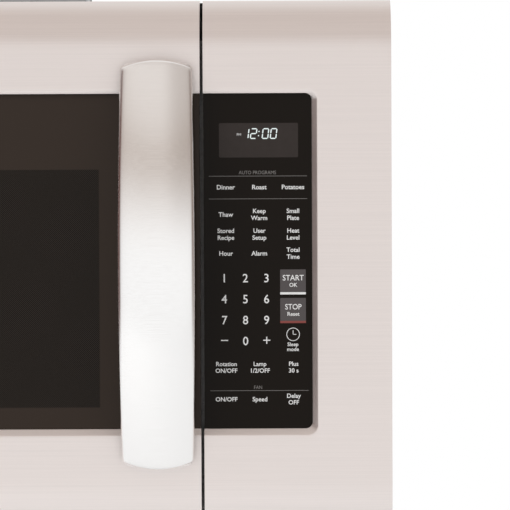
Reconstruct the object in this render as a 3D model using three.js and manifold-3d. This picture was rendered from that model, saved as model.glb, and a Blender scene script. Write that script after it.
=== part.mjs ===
// Over the range microwave oven with its vent hood, in millimetres.
// +X is right, +Z up, and the front faces -Y. The origin is the middle of the face on the wall.

import * as THREE from 'three';
import { mergeVertices } from 'three/addons/utils/BufferGeometryUtils.js';
import Module from 'manifold-3d';

const wasm = await Module();
wasm.setup();

// ---- Whole appliance -------------------------------------------------------
const WIDTH = 759;
const HEIGHT = 417.5;
const DEPTH = 397; // wall to the face of the door, without the handle
const SHEET = 1; // steel sheet of the cabinet and the oven
const CLEARANCE = 0.3; // between two pieces that touch

// ---- Front: the door and the control bezel have one profile -----------------
const FRONT_DEPTH = 38;
const DOOR_GAP = 2.5; // back of the door to the cabinet
const TOP_CURVE_DEPTH = 30;
const TOP_CURVE_HEIGHT = 36.75;
const BOTTOM_CURVE_DEPTH = 16;
const BOTTOM_CURVE_HEIGHT = 34;
const SKIN = 1.2; // stainless sheet
const BEZEL_WIDTH = 148.8;
const SPLIT_GAP = 2.4; // door edge to control bezel

// ---- Recess that holds the glass of both ------------------------------------
const RECESS_DEPTH = 4;
const RECESS_SIDE_MARGIN = 58.6;
const RECESS_TOP_MARGIN = 71.5;
const RECESS_BOTTOM_MARGIN = 73.6;
const RECESS_RADIUS = 8;
const BEVEL_SIDE = 4.4;
const BEVEL_TOP = 2.3;
const BEVEL_BOTTOM = 4.9;
const GLASS_CORNER = 5.4;
const GLASS_LAP = 5; // glass behind the bevel
const DOOR_GLASS = 4;
const CONTROL_GLASS = 3;

// ---- Handle -----------------------------------------------------------------
const HANDLE_EDGE = 34.5; // middle of the handle to the right edge of the door
const HANDLE_WIDTH = 60;
const HANDLE_LENGTH = 323.8;
const HANDLE_DROP = 0.8; // middle of the handle below the middle of the door
const HANDLE_PROUD_END = 20;
const HANDLE_PROUD_MIDDLE = 52;
const HANDLE_CROWN = 7;
const HANDLE_EDGE_THICKNESS = 3;
const HANDLE_END_ARC = 6.5;
const HANDLE_WAIST = 1.5; // narrower at the ends, each side
const HANDLE_FOOT_WIDTH = 40;
const HANDLE_FOOT_HEIGHT = 17;
const HANDLE_FOOT_END = 7; // foot to the end of the handle

// ---- Oven cavity --------------------------------------------------------------
const CAVITY_HEIGHT = 262;
const CAVITY_LEFT = 34.5; // outside of the case to the inside of the cavity
const CAVITY_RIGHT = 194.5;
const CAVITY_BOTTOM = 58.75;
const CAVITY_REAR = 12; // wall to the inside of the cavity
const CAVITY_CORNER = 14;

// ---- Door frame and its choke --------------------------------------------------
const FRAME_INSET = 1.2; // back of the frame inside the back edge of the door
const FRAME_ABOVE = 53; // over the cavity mouth
const FRAME_BELOW = 34;
const CHOKE_MARGIN = 5; // cavity mouth to the choke
const CHOKE_WIDTH = 22;
const CHOKE_DEPTH = 15;
const CHOKE_COVER = 1.5;
const APERTURE_INSET = 20;
const APERTURE_LIP = 5;
const WINDOW_THICKNESS = 3;
const SCREEN_THICKNESS = 0.6;

// ---- Door hinges ---------------------------------------------------------------
const PIN_FROM_SIDE = 9;
const PIN_FROM_BACK = 24;
const PIN_RADIUS = 3;
const PIN_LENGTH = 14;
const HINGE_PLATE = 2.5;
const HINGE_NOSE = 7;
const HINGE_FLANGE_WIDTH = 27;
const HINGE_FLANGE_HEIGHT = 22;
const HINGE_SLOT = 2; // room over and under the plate in the door side

// ---- Door latch ------------------------------------------------------------------
const LATCH_FROM_EDGE = 9.3;
const LATCH_THICKNESS = 3;
const LATCH_DEPTH = 16;
const LATCH_LENGTH = 230;
const HOOK_SPACING = 170;
const HOOK_REACH = 24; // behind the door frame
const HOOK_HEIGHT = 10;
const HOOK_TIP = 3;
const HOOK_TIP_LENGTH = 8;
const LATCH_TRAVEL = 4;
const LATCH_SIDE_ROOM = 3.4;
const LATCH_SPRING_LENGTH = 24;
const LATCH_SPRING_RADIUS = 4;
const LATCH_SPRING_WIRE = 0.6;
const LATCH_SPRING_TURNS = 5;

// ---- Turntable ---------------------------------------------------------------------
const ROLLER_RADIUS = 8;
const ROLLER_WIDTH = 8;
const ROLLER_BORE = 2.5;
const ROLLER_TRACK = 103;
const ROLLER_COUNT = 3;
const RING_OUTER = 94;
const RING_WIDTH = 6;
const RING_HEIGHT = 6;
const AXLE_RADIUS = 2.2;
const TRAY_RADIUS = 160;
const TRAY_FLAT = 140;
const TRAY_THICKNESS = 5;
const TRAY_RISE = 14;
const COUPLER_RADIUS = 16;
const COUPLER_HEIGHT = 14;
const COUPLER_WING = 30;
const COUPLER_WING_WIDTH = 9;
const SHAFT_RADIUS = 3.5;
const SHAFT_REACH = 11; // above and below the cavity floor
const MOTOR_RADIUS = 25;
const MOTOR_HEIGHT = 19;

// ---- Vent blower ---------------------------------------------------------------------
const WHEEL_RADIUS = 36;
const WHEEL_INNER = 29;
const WHEEL_WIDTH = 54;
const WHEEL_BLADES = 16;
const BLADE_THICKNESS = 0.9;
const SCROLL_START = 39; // radius at the cut-off
const SCROLL_GROWTH = 10;
const SCROLL_FROM = 60; // degrees, the cut-off
const SCROLL_TO = 360; // degrees, the outlet
const SCROLL_GAP = 4; // wheel to side plate
const BLOWER_MOTOR_RADIUS = 33;
const BLOWER_MOTOR_LENGTH = 66;
const BLOWER_SHAFT = 4;
const BLOWER_FROM_WALL = 100;
const INLET_RADIUS = 30;

// ---- Exhaust -----------------------------------------------------------------------------
const DUCT_WIDTH = 254;
const DUCT_DEPTH = 83;
const DUCT_RISE = 22;
const DUCT_FROM_WALL = 66;
const DUCT_FLANGE = 14;
const FLAP_PIN = 2;
const FLAP_HEIGHT = 11; // above the flange

// ---- Underside -----------------------------------------------------------------------------
const FILTER_INNER_EDGE = 50; // from the middle of the case
const FILTER_FROM_SIDE = 59.5; // outer edge to the side of the case
const FILTER_DEPTH = 150;
const FILTER_HEIGHT = 8;
const FILTER_FROM_WALL = 120;
const FILTER_TRAVEL = 6;
const FILTER_LAP = 12; // outer edge; the inner edge is freed by the travel
const FILTER_BAND = 7;
const LENS_WIDTH = 100;
const LENS_DEPTH = 60;
const LENS_THICKNESS = 3;
const LENS_LAP = 5;
const LAMP_FROM_MIDDLE = 150;
const LAMP_FROM_WALL = 300;
const LAMP_HEIGHT = 24;

// ---- Grille and charcoal filter ---------------------------------------------------------------
const GRILLE_DEPTH = 44.5;
const GRILLE_HEIGHT = 31;
const GRILLE_FALL = 12; // lower at the front
const GRILLE_WALL = 1.5;
const GRILLE_SLATS = 5;
const GRILLE_RIBS = 4;
const CHARCOAL_WIDTH = 460;
const CHARCOAL_HEIGHT = 82;
const CHARCOAL_THICKNESS = 12;

// ---- Wall plate ------------------------------------------------------------------------------------
const WALL_PLATE = 1.5;
const WALL_PLATE_INSET = 29.5; // inside the case at each side
const WALL_PLATE_TOP = 40;
const WALL_PLATE_BOTTOM = -192;
const WALL_WINDOW_FROM_MIDDLE = 60; // the plate's two large windows
const WALL_WINDOW_SIDE = 30;
const WALL_WINDOW_BOTTOM = 80;
const WALL_WINDOW_TOP = 30;
const WALL_HOOK_FROM_MIDDLE = 250;
const WALL_HOOK_WIDTH = 30;
const WALL_HOOK_Z = -150;
const WALL_HOOK_THICKNESS = 3;
const WALL_HOOK_LIP = 8;

// ---- Magnetron side -------------------------------------------------------------------------------------
const GUIDE_DEPTH = 40;
const GUIDE_WIDTH = 100;
const GUIDE_BOTTOM = 52; // cavity floor to the waveguide
const GUIDE_HEIGHT = 165;
const GUIDE_FROM_WALL = 180;
const PORT_HEIGHT = 60;
const PORT_WIDTH = 90;
const MICA_THICKNESS = 0.8;
const MAGNETRON_SIZE = 90;
const MAGNETRON_LENGTH = 70;
const MAGNETRON_FINS = 5;
const ANTENNA_RADIUS = 8;
const ANTENNA_REACH = 18;
const FAN_SIZE = 124;
const FAN_DEPTH = 58;
const FAN_RADIUS = 50;
const FAN_HUB = 15;
const FAN_BLADES = 5;
const FAN_BLADE_DEPTH = 14;
const FAN_FROM_SIDE = 79.5;
const FAN_Z = 45;
const FAN_MOTOR_RADIUS = 22;
const FAN_MOTOR_LENGTH = 20;
const FAN_SHAFT = 3;

// ---- High voltage pieces ----------------------------------------------------------------------------------
const FIN_THICKNESS = 1;
const YOKE = 3;
const ANODE_RADIUS = 17;
const FILTER_BOX = 44; // square
const FILTER_BOX_LENGTH = 26;
const TRANSFORMER_WIDTH = 92;
const TRANSFORMER_DEPTH = 66;
const TRANSFORMER_HEIGHT = 76;
const TRANSFORMER_FROM_SPLIT = 74;
const TRANSFORMER_FROM_FRONT = 66;
const WINDING_HEIGHT = 26;
const WINDING_BULGE = 14; // beyond the core
const CAPACITOR_WIDTH = 40;
const CAPACITOR_LENGTH = 90;
const CAPACITOR_HEIGHT = 82;
const CAPACITOR_FROM_SIDE = 23;
const CAPACITOR_FROM_WALL = 178;
const TERMINAL_HEIGHT = 12;
const DIODE_RADIUS = 3.5;
const DIODE_LENGTH = 28;

// ---- Control panel ----------------------------------------------------------------------------------------
const MEMBRANE = 0.5;
const CHASSIS_WALL = 2;
const CHASSIS_HALF = 168;
const DISPLAY_WIDTH = 67;
const DISPLAY_HEIGHT = 36;
const DISPLAY_FROM_SPLIT = 43.3;
const DISPLAY_Z = 98;
const BOARD = 1.6;
const BOARD_STANDOFF = 12;
const BOARD_HALF_HEIGHT = 130;
const RELAY_BOARD_FROM_FRONT = 40;
const RELAY_BOARD_DEPTH = 125;
const RELAY_BOARD_BOTTOM = -40;
const RELAY_BOARD_TOP = 90;
const RELAY_BOARD_STANDOFF = 14;
const LATCH_BOARD_WIDTH = 26;
const LATCH_BOARD_DEPTH = 34;
const LATCH_BOARD_OVER = 34; // past the hooks

// ---- Oven lamp, humidity sensor and supply cord -----------------------------------------------------------
const LAMP_BOX_REACH = 26;
const LAMP_BOX_DEPTH = 40;
const LAMP_BOX_HEIGHT = 32;
const LAMP_BOX_FROM_FRONT = 70;
const LAMP_BOX_FROM_CEILING = 40;
const LAMP_HOLE = 2.5;
const LAMP_HOLE_PITCH = 9;
const SENSOR_FROM_LEFT = 95;
const SENSOR_FROM_WALL = 110;
const SENSOR_RADIUS = 7;
const BUSH_RADIUS = 11;
const BUSH_FROM_SIDE = 80;
const BUSH_FROM_WALL = 60;

// ---- Cabinet ----------------------------------------------------------------------------------------------
const BOLT_PAD_WIDTH = 60; // pads on the top for the bolts from the wall cabinet
const BOLT_PAD_DEPTH = 40;
const BOLT_PAD_RISE = 2;
const BOLT_PAD_FROM_MIDDLE = 200;
const BOLT_PAD_FROM_WALL = 200;
const BOLT_HOLE = 3.5;
const PANEL_FLANGE = 14; // turned up edge of the base plate
const SERVICE_EDGE = 10;
const SIDE_SLOTS = 5; // outlets for the cooling air
const SIDE_SLOT_WIDTH = 6;
const SIDE_SLOT_PITCH = 14;
const SIDE_SLOT_FROM_WALL = 150;
const SIDE_SLOT_BOTTOM = 60;
const SIDE_SLOT_TOP = 120;
const SERVICE_END = 30;

// ---- Places worked out from the sizes above --------------------------------------------------------------
const halfWidth = WIDTH / 2;
const topZ = HEIGHT / 2;
const bottomZ = -HEIGHT / 2;
const frontY = -DEPTH;
const frontBackY = frontY + FRONT_DEPTH;
const cabinetY = frontBackY + DOOR_GAP;
const insideX = halfWidth - SHEET - CLEARANCE; // what stands between the case sides
const baseTopZ = bottomZ + SHEET + CLEARANCE; // what stands on the base plate
const roofZ = topZ - SHEET - CLEARANCE; // what stands under the case top
const rearPanelY = -WALL_PLATE - CLEARANCE;
const rearInsideY = rearPanelY - SHEET - CLEARANCE;

const bezelLeft = halfWidth - BEZEL_WIDTH;
const doorRight = bezelLeft - SPLIT_GAP;
const recessTop = topZ - RECESS_TOP_MARGIN;
const recessBottom = bottomZ + RECESS_BOTTOM_MARGIN;
const recessSide = halfWidth - RECESS_SIDE_MARGIN;
const glassTop = recessTop - BEVEL_TOP + GLASS_LAP;
const glassBottom = recessBottom + BEVEL_BOTTOM - GLASS_LAP;
const glassSide = recessSide - BEVEL_SIDE + GLASS_LAP;
const glassFrontY = frontY + RECESS_DEPTH + CLEARANCE;
const doorGlassBackY = glassFrontY + DOOR_GLASS;
const controlGlassBackY = glassFrontY + CONTROL_GLASS;

const cavityLeft = -halfWidth + CAVITY_LEFT;
const cavityRight = halfWidth - CAVITY_RIGHT;
const floorZ = bottomZ + CAVITY_BOTTOM;
const ceilingZ = floorZ + CAVITY_HEIGHT;
const cavityBackY = -CAVITY_REAR;
const cavityTopZ = ceilingZ + SHEET + CLEARANCE; // what stands on the cavity
const tableX = (cavityLeft + cavityRight) / 2;
const tableY = (cabinetY + cavityBackY) / 2;

const frameLeft = -halfWidth + SKIN + CLEARANCE;
const frameRight = doorRight - SKIN - CLEARANCE;
const frameTopZ = ceilingZ + FRAME_ABOVE;
const frameBottomZ = floorZ - FRAME_BELOW;
const frameFrontY = doorGlassBackY + CLEARANCE;
const frameBackY = frontBackY - FRAME_INSET;
const frameInsideY = frameBackY - SHEET;
const pinX = -halfWidth + PIN_FROM_SIDE;
const pinY = frontBackY - PIN_FROM_BACK;
const latchX = doorRight - LATCH_FROM_EDGE;
const fanX = halfWidth - FAN_FROM_SIDE;
const displayX = bezelLeft + DISPLAY_FROM_SPLIT;
const filterWidth = halfWidth - FILTER_FROM_SIDE - FILTER_INNER_EDGE;
const filterX = FILTER_INNER_EDGE + filterWidth / 2;

// ---- Materials ---------------------------------------------------------------------------------------------
const finish = (color, roughness, metalness = 0) =>
  new THREE.MeshStandardMaterial({ color, roughness, metalness });
const stainless = finish(0xded5d0, 0.35, 1);
const blackGlass = finish(0x221e1a, 0.08);
const blackPaint = finish(0x201f1e, 0.5);
const galvanised = finish(0xb4b7b8, 0.45, 1);
const enamel = finish(0xcfcdc8, 0.4);
const springSteel = finish(0x9a9c9e, 0.3, 1);
const aluminium = finish(0xc3c5c7, 0.4, 1);
const copper = finish(0xa8663c, 0.4, 1);
const blackPlastic = finish(0x262524, 0.55);
const whitePlastic = finish(0xd9d7d0, 0.5);
const clearGlass = finish(0xdfe6e4, 0.05);
const mica = finish(0xbfb398, 0.6);
const carbon = finish(0x1b1b1c, 0.95);
const circuit = finish(0x2f5a41, 0.6);

// ---- Solids --------------------------------------------------------------------------------------------------

// A closed three.js geometry as a solid that can be joined and cut.
function solid(geometry) {
  const bare = new THREE.BufferGeometry();
  bare.setAttribute('position', geometry.getAttribute('position'));
  bare.setIndex(geometry.getIndex());
  const merged = mergeVertices(bare, 1e-4);
  const corners = merged.getIndex().array;
  const triangles = [];
  for (let i = 0; i < corners.length; i += 3) {
    const [a, b, c] = corners.slice(i, i + 3);
    if (a !== b && b !== c && c !== a) triangles.push(a, b, c);
  }
  return new wasm.Manifold(new wasm.Mesh({
    numProp: 3,
    vertProperties: new Float32Array(merged.getAttribute('position').array),
    triVerts: new Uint32Array(triangles),
  }));
}

const join = (first, ...others) => others.reduce((a, b) => a.add(b), first);
const cut = (first, ...others) => others.reduce((a, b) => a.subtract(b), first);

function box(x0, x1, y0, y1, z0, z1) {
  const geometry = new THREE.BoxGeometry(x1 - x0, y1 - y0, z1 - z0);
  geometry.translate((x0 + x1) / 2, (y0 + y1) / 2, (z0 + z1) / 2);
  return solid(geometry);
}

function extrude(points, depth) {
  const shape = new THREE.Shape(points.map(([u, v]) => new THREE.Vector2(u, v)));
  return new THREE.ExtrudeGeometry(shape, { depth, bevelEnabled: false });
}

// Outlines drawn in (x, y), (x, z) and (y, z), carried along the third direction.
function alongZ(points, z0, z1) {
  return solid(extrude(points, z1 - z0).translate(0, 0, z0));
}

function alongY(points, y0, y1) {
  return solid(extrude(points, y1 - y0).rotateX(Math.PI / 2).translate(0, y1, 0));
}

function alongX(points, x0, x1) {
  const turn = new THREE.Matrix4().makeBasis(
    new THREE.Vector3(0, 1, 0), new THREE.Vector3(0, 0, 1), new THREE.Vector3(1, 0, 0));
  return solid(extrude(points, x1 - x0).applyMatrix4(turn).translate(x0, 0, 0));
}

// Points on an elliptical arc, both ends included.
function arc(u, v, radiusU, radiusV, from, to, steps) {
  return Array.from({ length: steps + 1 }, (_, i) => {
    const angle = THREE.MathUtils.degToRad(from + ((to - from) * i) / steps);
    return [u + radiusU * Math.cos(angle), v + radiusV * Math.sin(angle)];
  });
}

const circle = (u, v, radius, steps = 24) => arc(u, v, radius, radius, 0, 360, steps).slice(1);

function roundedRect(u0, u1, v0, v1, radius, steps = 4) {
  return [
    ...arc(u1 - radius, v1 - radius, radius, radius, 0, 90, steps),
    ...arc(u0 + radius, v1 - radius, radius, radius, 90, 180, steps),
    ...arc(u0 + radius, v0 + radius, radius, radius, 180, 270, steps),
    ...arc(u1 - radius, v0 + radius, radius, radius, 270, 360, steps),
  ];
}

// Rings of as many points each, joined in turn, with a fan from the middle of each end ring.
function loft(rings) {
  const count = rings[0].length;
  const points = rings.flat();
  const index = [];
  for (let r = 0; r + 1 < rings.length; r += 1) {
    for (let i = 0; i < count; i += 1) {
      const a = r * count + i;
      const b = r * count + ((i + 1) % count);
      index.push(a, b, a + count, b, b + count, a + count);
    }
  }
  for (const [start, flip] of [[0, true], [(rings.length - 1) * count, false]]) {
    const middle = new THREE.Vector3();
    for (let i = 0; i < count; i += 1) middle.addScaledVector(points[start + i], 1 / count);
    points.push(middle);
    for (let i = 0; i < count; i += 1) {
      const pair = [start + i, start + ((i + 1) % count)];
      if (flip) pair.reverse();
      index.push(...pair, points.length - 1);
    }
  }
  const geometry = new THREE.BufferGeometry().setFromPoints(points);
  geometry.setIndex(index);
  if (signedVolume(points, index) < 0) index.reverse();
  geometry.setIndex(index);
  return solid(geometry);
}

function signedVolume(points, index) {
  let volume = 0;
  for (let i = 0; i < index.length; i += 3) {
    const [a, b, c] = [points[index[i]], points[index[i + 1]], points[index[i + 2]]];
    volume += a.dot(b.clone().cross(c)) / 6;
  }
  return volume;
}

// A revolved profile of (radius, height) points about Z, turned to the axis asked for.
function revolve(points, axis = 'z', steps = 32) {
  const profile = points.map(([r, h]) => new THREE.Vector2(r, h));
  const geometry = new THREE.LatheGeometry(profile, steps);
  geometry.rotateX(Math.PI / 2);
  if (axis === 'x') geometry.rotateY(Math.PI / 2);
  if (axis === 'y') geometry.rotateX(-Math.PI / 2);
  const body = solid(geometry);
  return body.volume() < 0 ? solid(flipped(geometry)) : body;
}

function flipped(geometry) {
  geometry.setIndex(Array.from(geometry.getIndex().array).reverse());
  return geometry;
}

function piece(name, body, material) {
  const { vertProperties, triVerts } = body.getMesh();
  const geometry = new THREE.BufferGeometry();
  geometry.setAttribute('position', new THREE.BufferAttribute(new Float32Array(vertProperties), 3));
  geometry.setIndex(new THREE.BufferAttribute(new Uint32Array(triVerts), 1));
  geometry.computeVertexNormals();
  const mesh = new THREE.Mesh(geometry, material);
  mesh.name = name;
  return mesh;
}

function groupAt(x, y, z, ...members) {
  const group = new THREE.Group();
  group.position.set(x, y, z);
  group.add(...members);
  return group;
}

// ---- Front shells ----------------------------------------------------------------------------------------

// Side view of the front: a flat face that rolls back at the top and, tighter, at the bottom.
function frontProfile(inset, backY) {
  return [
    [backY, topZ - inset],
    ...arc(frontY + TOP_CURVE_DEPTH, topZ - TOP_CURVE_HEIGHT,
      TOP_CURVE_DEPTH - inset, TOP_CURVE_HEIGHT - inset, 90, 180, 12),
    ...arc(frontY + BOTTOM_CURVE_DEPTH, bottomZ + BOTTOM_CURVE_HEIGHT,
      BOTTOM_CURVE_DEPTH - inset, BOTTOM_CURVE_HEIGHT - inset, 180, 270, 8),
    [backY, bottomZ + inset],
  ];
}

// bevel 0 is the edge on the face and 1 the edge at the glass.
function recessRing(y, bevel, grow) {
  const radius = THREE.MathUtils.lerp(RECESS_RADIUS, GLASS_CORNER, bevel) + grow;
  const side = recessSide - bevel * BEVEL_SIDE + grow;
  return roundedRect(-side, side, recessBottom + bevel * BEVEL_BOTTOM - grow,
    recessTop - bevel * BEVEL_TOP + grow, radius).map(([x, z]) => new THREE.Vector3(x, y, z));
}

const recessFloorY = frontY + RECESS_DEPTH;
const recess = loft([
  recessRing(frontY - SKIN, 0, 0),
  recessRing(frontY, 0, 0),
  recessRing(recessFloorY, 1, 0),
  recessRing(recessFloorY + SKIN, 1, 0),
]);
const recessWall = loft([recessRing(frontY, 0, SKIN), recessRing(recessFloorY, 1, SKIN)]);

// Sheet bent round the profile, closed at both ends and open at the back, with the recess formed in it.
function frontShell(x0, x1, backY) {
  const sheet = cut(
    alongX(frontProfile(0, backY), x0, x1),
    alongX(frontProfile(SKIN, backY + SKIN), x0 + SKIN, x1 - SKIN),
  );
  const wall = recessWall.intersect(box(x0, x1, frontY, recessFloorY, bottomZ, topZ));
  return cut(join(sheet, wall), recess);
}

// Where the glass runs out over the split, the end of the shell stops behind it.
function glassNotch(x0, x1, glassBackY) {
  return box(x0, x1, recessFloorY, glassBackY + CLEARANCE,
    glassBottom - CLEARANCE, glassTop + CLEARANCE);
}

function glassPane(x0, x1, backY) {
  const blank = alongY(
    roundedRect(-glassSide, glassSide, glassBottom, glassTop, GLASS_CORNER), glassFrontY, backY);
  return blank.intersect(box(x0, x1, glassFrontY, backY, glassBottom, glassTop));
}

// ---- Door ---------------------------------------------------------------------------------------------------

const hingeTopZ = frameTopZ + CLEARANCE; // underside of the upper hinge plate
const hingeBottomZ = frameBottomZ - CLEARANCE - HINGE_PLATE;

function doorPanel() {
  const slots = [hingeTopZ, hingeBottomZ].map((z) => box(-halfWidth - SKIN, -halfWidth + 2 * SKIN,
    pinY - HINGE_NOSE - HINGE_SLOT, frontBackY + SKIN, z - HINGE_SLOT, z + HINGE_PLATE + HINGE_SLOT));
  return cut(
    frontShell(-halfWidth, doorRight, frontBackY),
    glassNotch(doorRight - 2 * SKIN, doorRight + SKIN, doorGlassBackY),
    ...slots,
  );
}

const mouth = { x0: cavityLeft, x1: cavityRight, z0: floorZ, z1: ceilingZ };

// A block as large as the cavity mouth, grown on every side.
function mouthBlock(grow, y0, y1) {
  return box(mouth.x0 - grow, mouth.x1 + grow, y0, y1, mouth.z0 - grow, mouth.z1 + grow);
}

const hookZ = [-HOOK_SPACING / 2, HOOK_SPACING / 2];
const chokeOuter = CHOKE_MARGIN + CHOKE_WIDTH;
const springTopZ = -LATCH_LENGTH / 2 - CLEARANCE;
const springBottomZ = springTopZ - LATCH_SPRING_LENGTH;

function doorFrame() {
  const tray = cut(
    box(frameLeft, frameRight, frameFrontY, frameBackY, frameBottomZ, frameTopZ),
    box(frameLeft + SHEET, frameRight - SHEET, frameFrontY - SHEET, frameInsideY,
      frameBottomZ + SHEET, frameTopZ - SHEET),
  );
  const channel = cut(
    mouthBlock(chokeOuter + SHEET, frameBackY - CHOKE_DEPTH - SHEET, frameBackY),
    mouthBlock(CHOKE_MARGIN - SHEET, frameFrontY, frameBackY + SHEET),
  );
  const groove = cut(
    mouthBlock(chokeOuter, frameBackY - CHOKE_DEPTH, frameBackY + SHEET),
    mouthBlock(CHOKE_MARGIN, frameFrontY, frameBackY + 2 * SHEET),
  );
  const lipY = frameBackY - WINDOW_THICKNESS - SCREEN_THICKNESS - 3 * CLEARANCE;
  const rim = cut(
    mouthBlock(SHEET - APERTURE_INSET, lipY - SHEET, frameBackY),
    mouthBlock(-APERTURE_INSET - APERTURE_LIP, frameFrontY, frameBackY + SHEET),
  );
  const aperture = mouthBlock(-APERTURE_INSET, lipY, frameBackY + SHEET);
  const bosses = [frameTopZ, frameBottomZ + 4 * SHEET].map((z) =>
    box(frameLeft, pinX + 3 * PIN_RADIUS, pinY - 2 * PIN_RADIUS, pinY + 2 * PIN_RADIUS,
      z - 4 * SHEET, z));
  const pinHole = alongZ(circle(pinX, pinY, PIN_RADIUS + CLEARANCE, 16),
    frameBottomZ - SHEET, frameTopZ + SHEET);
  const hookSlots = hookZ.map((z) => box(latchX - LATCH_THICKNESS / 2 - LATCH_SIDE_ROOM / 2,
    latchX + LATCH_THICKNESS / 2 + LATCH_SIDE_ROOM / 2, frameInsideY - SHEET, frameBackY + SHEET,
    z - HOOK_HEIGHT / 2 - CLEARANCE, z + HOOK_HEIGHT / 2 + LATCH_TRAVEL + CLEARANCE));
  const inner = latchX - LATCH_THICKNESS / 2 - CLEARANCE;
  const outer = latchX + LATCH_THICKNESS / 2 + CLEARANCE;
  const guides = [-1, 1].flatMap((side) => [
    box(inner - SHEET, inner, frameInsideY - LATCH_DEPTH / 2, frameInsideY,
      side * HOOK_SPACING / 4 - 5, side * HOOK_SPACING / 4 + 5),
    box(outer, outer + SHEET, frameInsideY - LATCH_DEPTH / 2, frameInsideY,
      side * HOOK_SPACING / 4 - 5, side * HOOK_SPACING / 4 + 5),
  ]);
  const springTab = box(latchX - LATCH_SPRING_RADIUS - SHEET, latchX + LATCH_SPRING_RADIUS + SHEET,
    frameInsideY - LATCH_DEPTH, frameInsideY, springBottomZ - CLEARANCE - SHEET,
    springBottomZ - CLEARANCE);
  return join(cut(join(tray, channel, ...bosses), groove,
    mouthBlock(-APERTURE_INSET, frameInsideY - SHEET, frameBackY + SHEET), pinHole, ...hookSlots),
  cut(rim, aperture), ...guides, springTab);
}

// A plastic ring that closes the choke channel, so that no food gets in.
function chokeCover() {
  return cut(
    mouthBlock(chokeOuter - CLEARANCE, frameBackY - CHOKE_COVER, frameBackY),
    mouthBlock(CHOKE_MARGIN + CLEARANCE, frameFrontY, frameBackY + SHEET),
  );
}

function innerWindow() {
  return mouthBlock(-APERTURE_INSET - CLEARANCE, frameBackY - CLEARANCE - WINDOW_THICKNESS,
    frameBackY - CLEARANCE);
}

function windowScreen() {
  const backY = frameBackY - 2 * CLEARANCE - WINDOW_THICKNESS;
  return mouthBlock(-APERTURE_INSET - CLEARANCE, backY - SCREEN_THICKNESS, backY);
}

// A plate that slides in the frame, with two hooks that reach back into the latch board.
function doorLatch() {
  const backY = frameInsideY - CLEARANCE;
  const hookBackY = frameBackY + HOOK_REACH;
  const half = HOOK_HEIGHT / 2;
  const hooks = hookZ.map((z) => alongX([
    [backY - SHEET, z - half], [hookBackY - HOOK_TIP_LENGTH, z - half],
    [hookBackY - HOOK_TIP_LENGTH, z - half - HOOK_TIP], [hookBackY - HOOK_TIP, z - half - HOOK_TIP],
    [hookBackY, z], [hookBackY, z + half], [backY - SHEET, z + half],
  ], latchX - LATCH_THICKNESS / 2, latchX + LATCH_THICKNESS / 2));
  const plate = alongX(roundedRect(backY - LATCH_DEPTH, backY, -LATCH_LENGTH / 2, LATCH_LENGTH / 2, 3),
    latchX - LATCH_THICKNESS / 2, latchX + LATCH_THICKNESS / 2);
  return join(plate, ...hooks);
}

class Helix extends THREE.Curve {
  constructor(radius, length, turns) {
    super();
    Object.assign(this, { radius, length, turns });
  }

  getPoint(t, target = new THREE.Vector3()) {
    const angle = 2 * Math.PI * this.turns * t;
    return target.set(this.radius * Math.cos(angle), this.radius * Math.sin(angle), this.length * t);
  }
}

function latchSpring() {
  const wire = new THREE.Shape(circle(0, 0, LATCH_SPRING_WIRE, 5)
    .map(([u, v]) => new THREE.Vector2(u, v)));
  const route = new Helix(LATCH_SPRING_RADIUS, LATCH_SPRING_LENGTH - 2 * LATCH_SPRING_WIRE,
    LATCH_SPRING_TURNS);
  const geometry = new THREE.ExtrudeGeometry(wire,
    { steps: 8 * LATCH_SPRING_TURNS, bevelEnabled: false, extrudePath: route });
  const body = solid(geometry.translate(0, 0, LATCH_SPRING_WIRE));
  return body.volume() < 0 ? solid(flipped(geometry)) : body;
}

// ---- Handle: a bowed bar with a crowned face, whose ends are cut to an arc --------------------------------
const handleX = doorRight - HANDLE_EDGE;
const handleProud = (t) => THREE.MathUtils.lerp(HANDLE_PROUD_MIDDLE, HANDLE_PROUD_END, t * t);

function handleRing(t) {
  const half = HANDLE_WIDTH / 2 - HANDLE_WAIST * t * t;
  const at = (u, depth) => new THREE.Vector3(
    handleX + half * u,
    frontY - handleProud(t) + depth,
    t * (HANDLE_LENGTH / 2 - HANDLE_END_ARC * u * u) - HANDLE_DROP,
  );
  const face = Array.from({ length: 9 }, (_, i) => {
    const u = -1 + i / 4;
    return at(u, HANDLE_CROWN * u * u);
  });
  const backDepth = HANDLE_CROWN + HANDLE_EDGE_THICKNESS;
  return [...face, at(1, backDepth), at(-1, backDepth)];
}

function handle() {
  const stations = 16;
  const rings = Array.from({ length: stations + 1 }, (_, i) => handleRing(-1 + (2 * i) / stations));
  const feet = [-1, 1].map((side) => {
    const end = side * (HANDLE_LENGTH / 2 - HANDLE_FOOT_END - HANDLE_END_ARC);
    const far = end - side * HANDLE_FOOT_HEIGHT;
    const depth = handleProud(end / (HANDLE_LENGTH / 2)) - HANDLE_CROWN;
    return alongY(roundedRect(handleX - HANDLE_FOOT_WIDTH / 2, handleX + HANDLE_FOOT_WIDTH / 2,
      Math.min(end, far) - HANDLE_DROP, Math.max(end, far) - HANDLE_DROP, 4),
    frontY - depth, frontY - CLEARANCE);
  });
  return join(loft(rings), ...feet);
}

// ---- Hinge brackets: a plate through the front frame, with its pin, and a flange behind the frame --------
const flangeY = cabinetY + SHEET + CLEARANCE;

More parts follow.
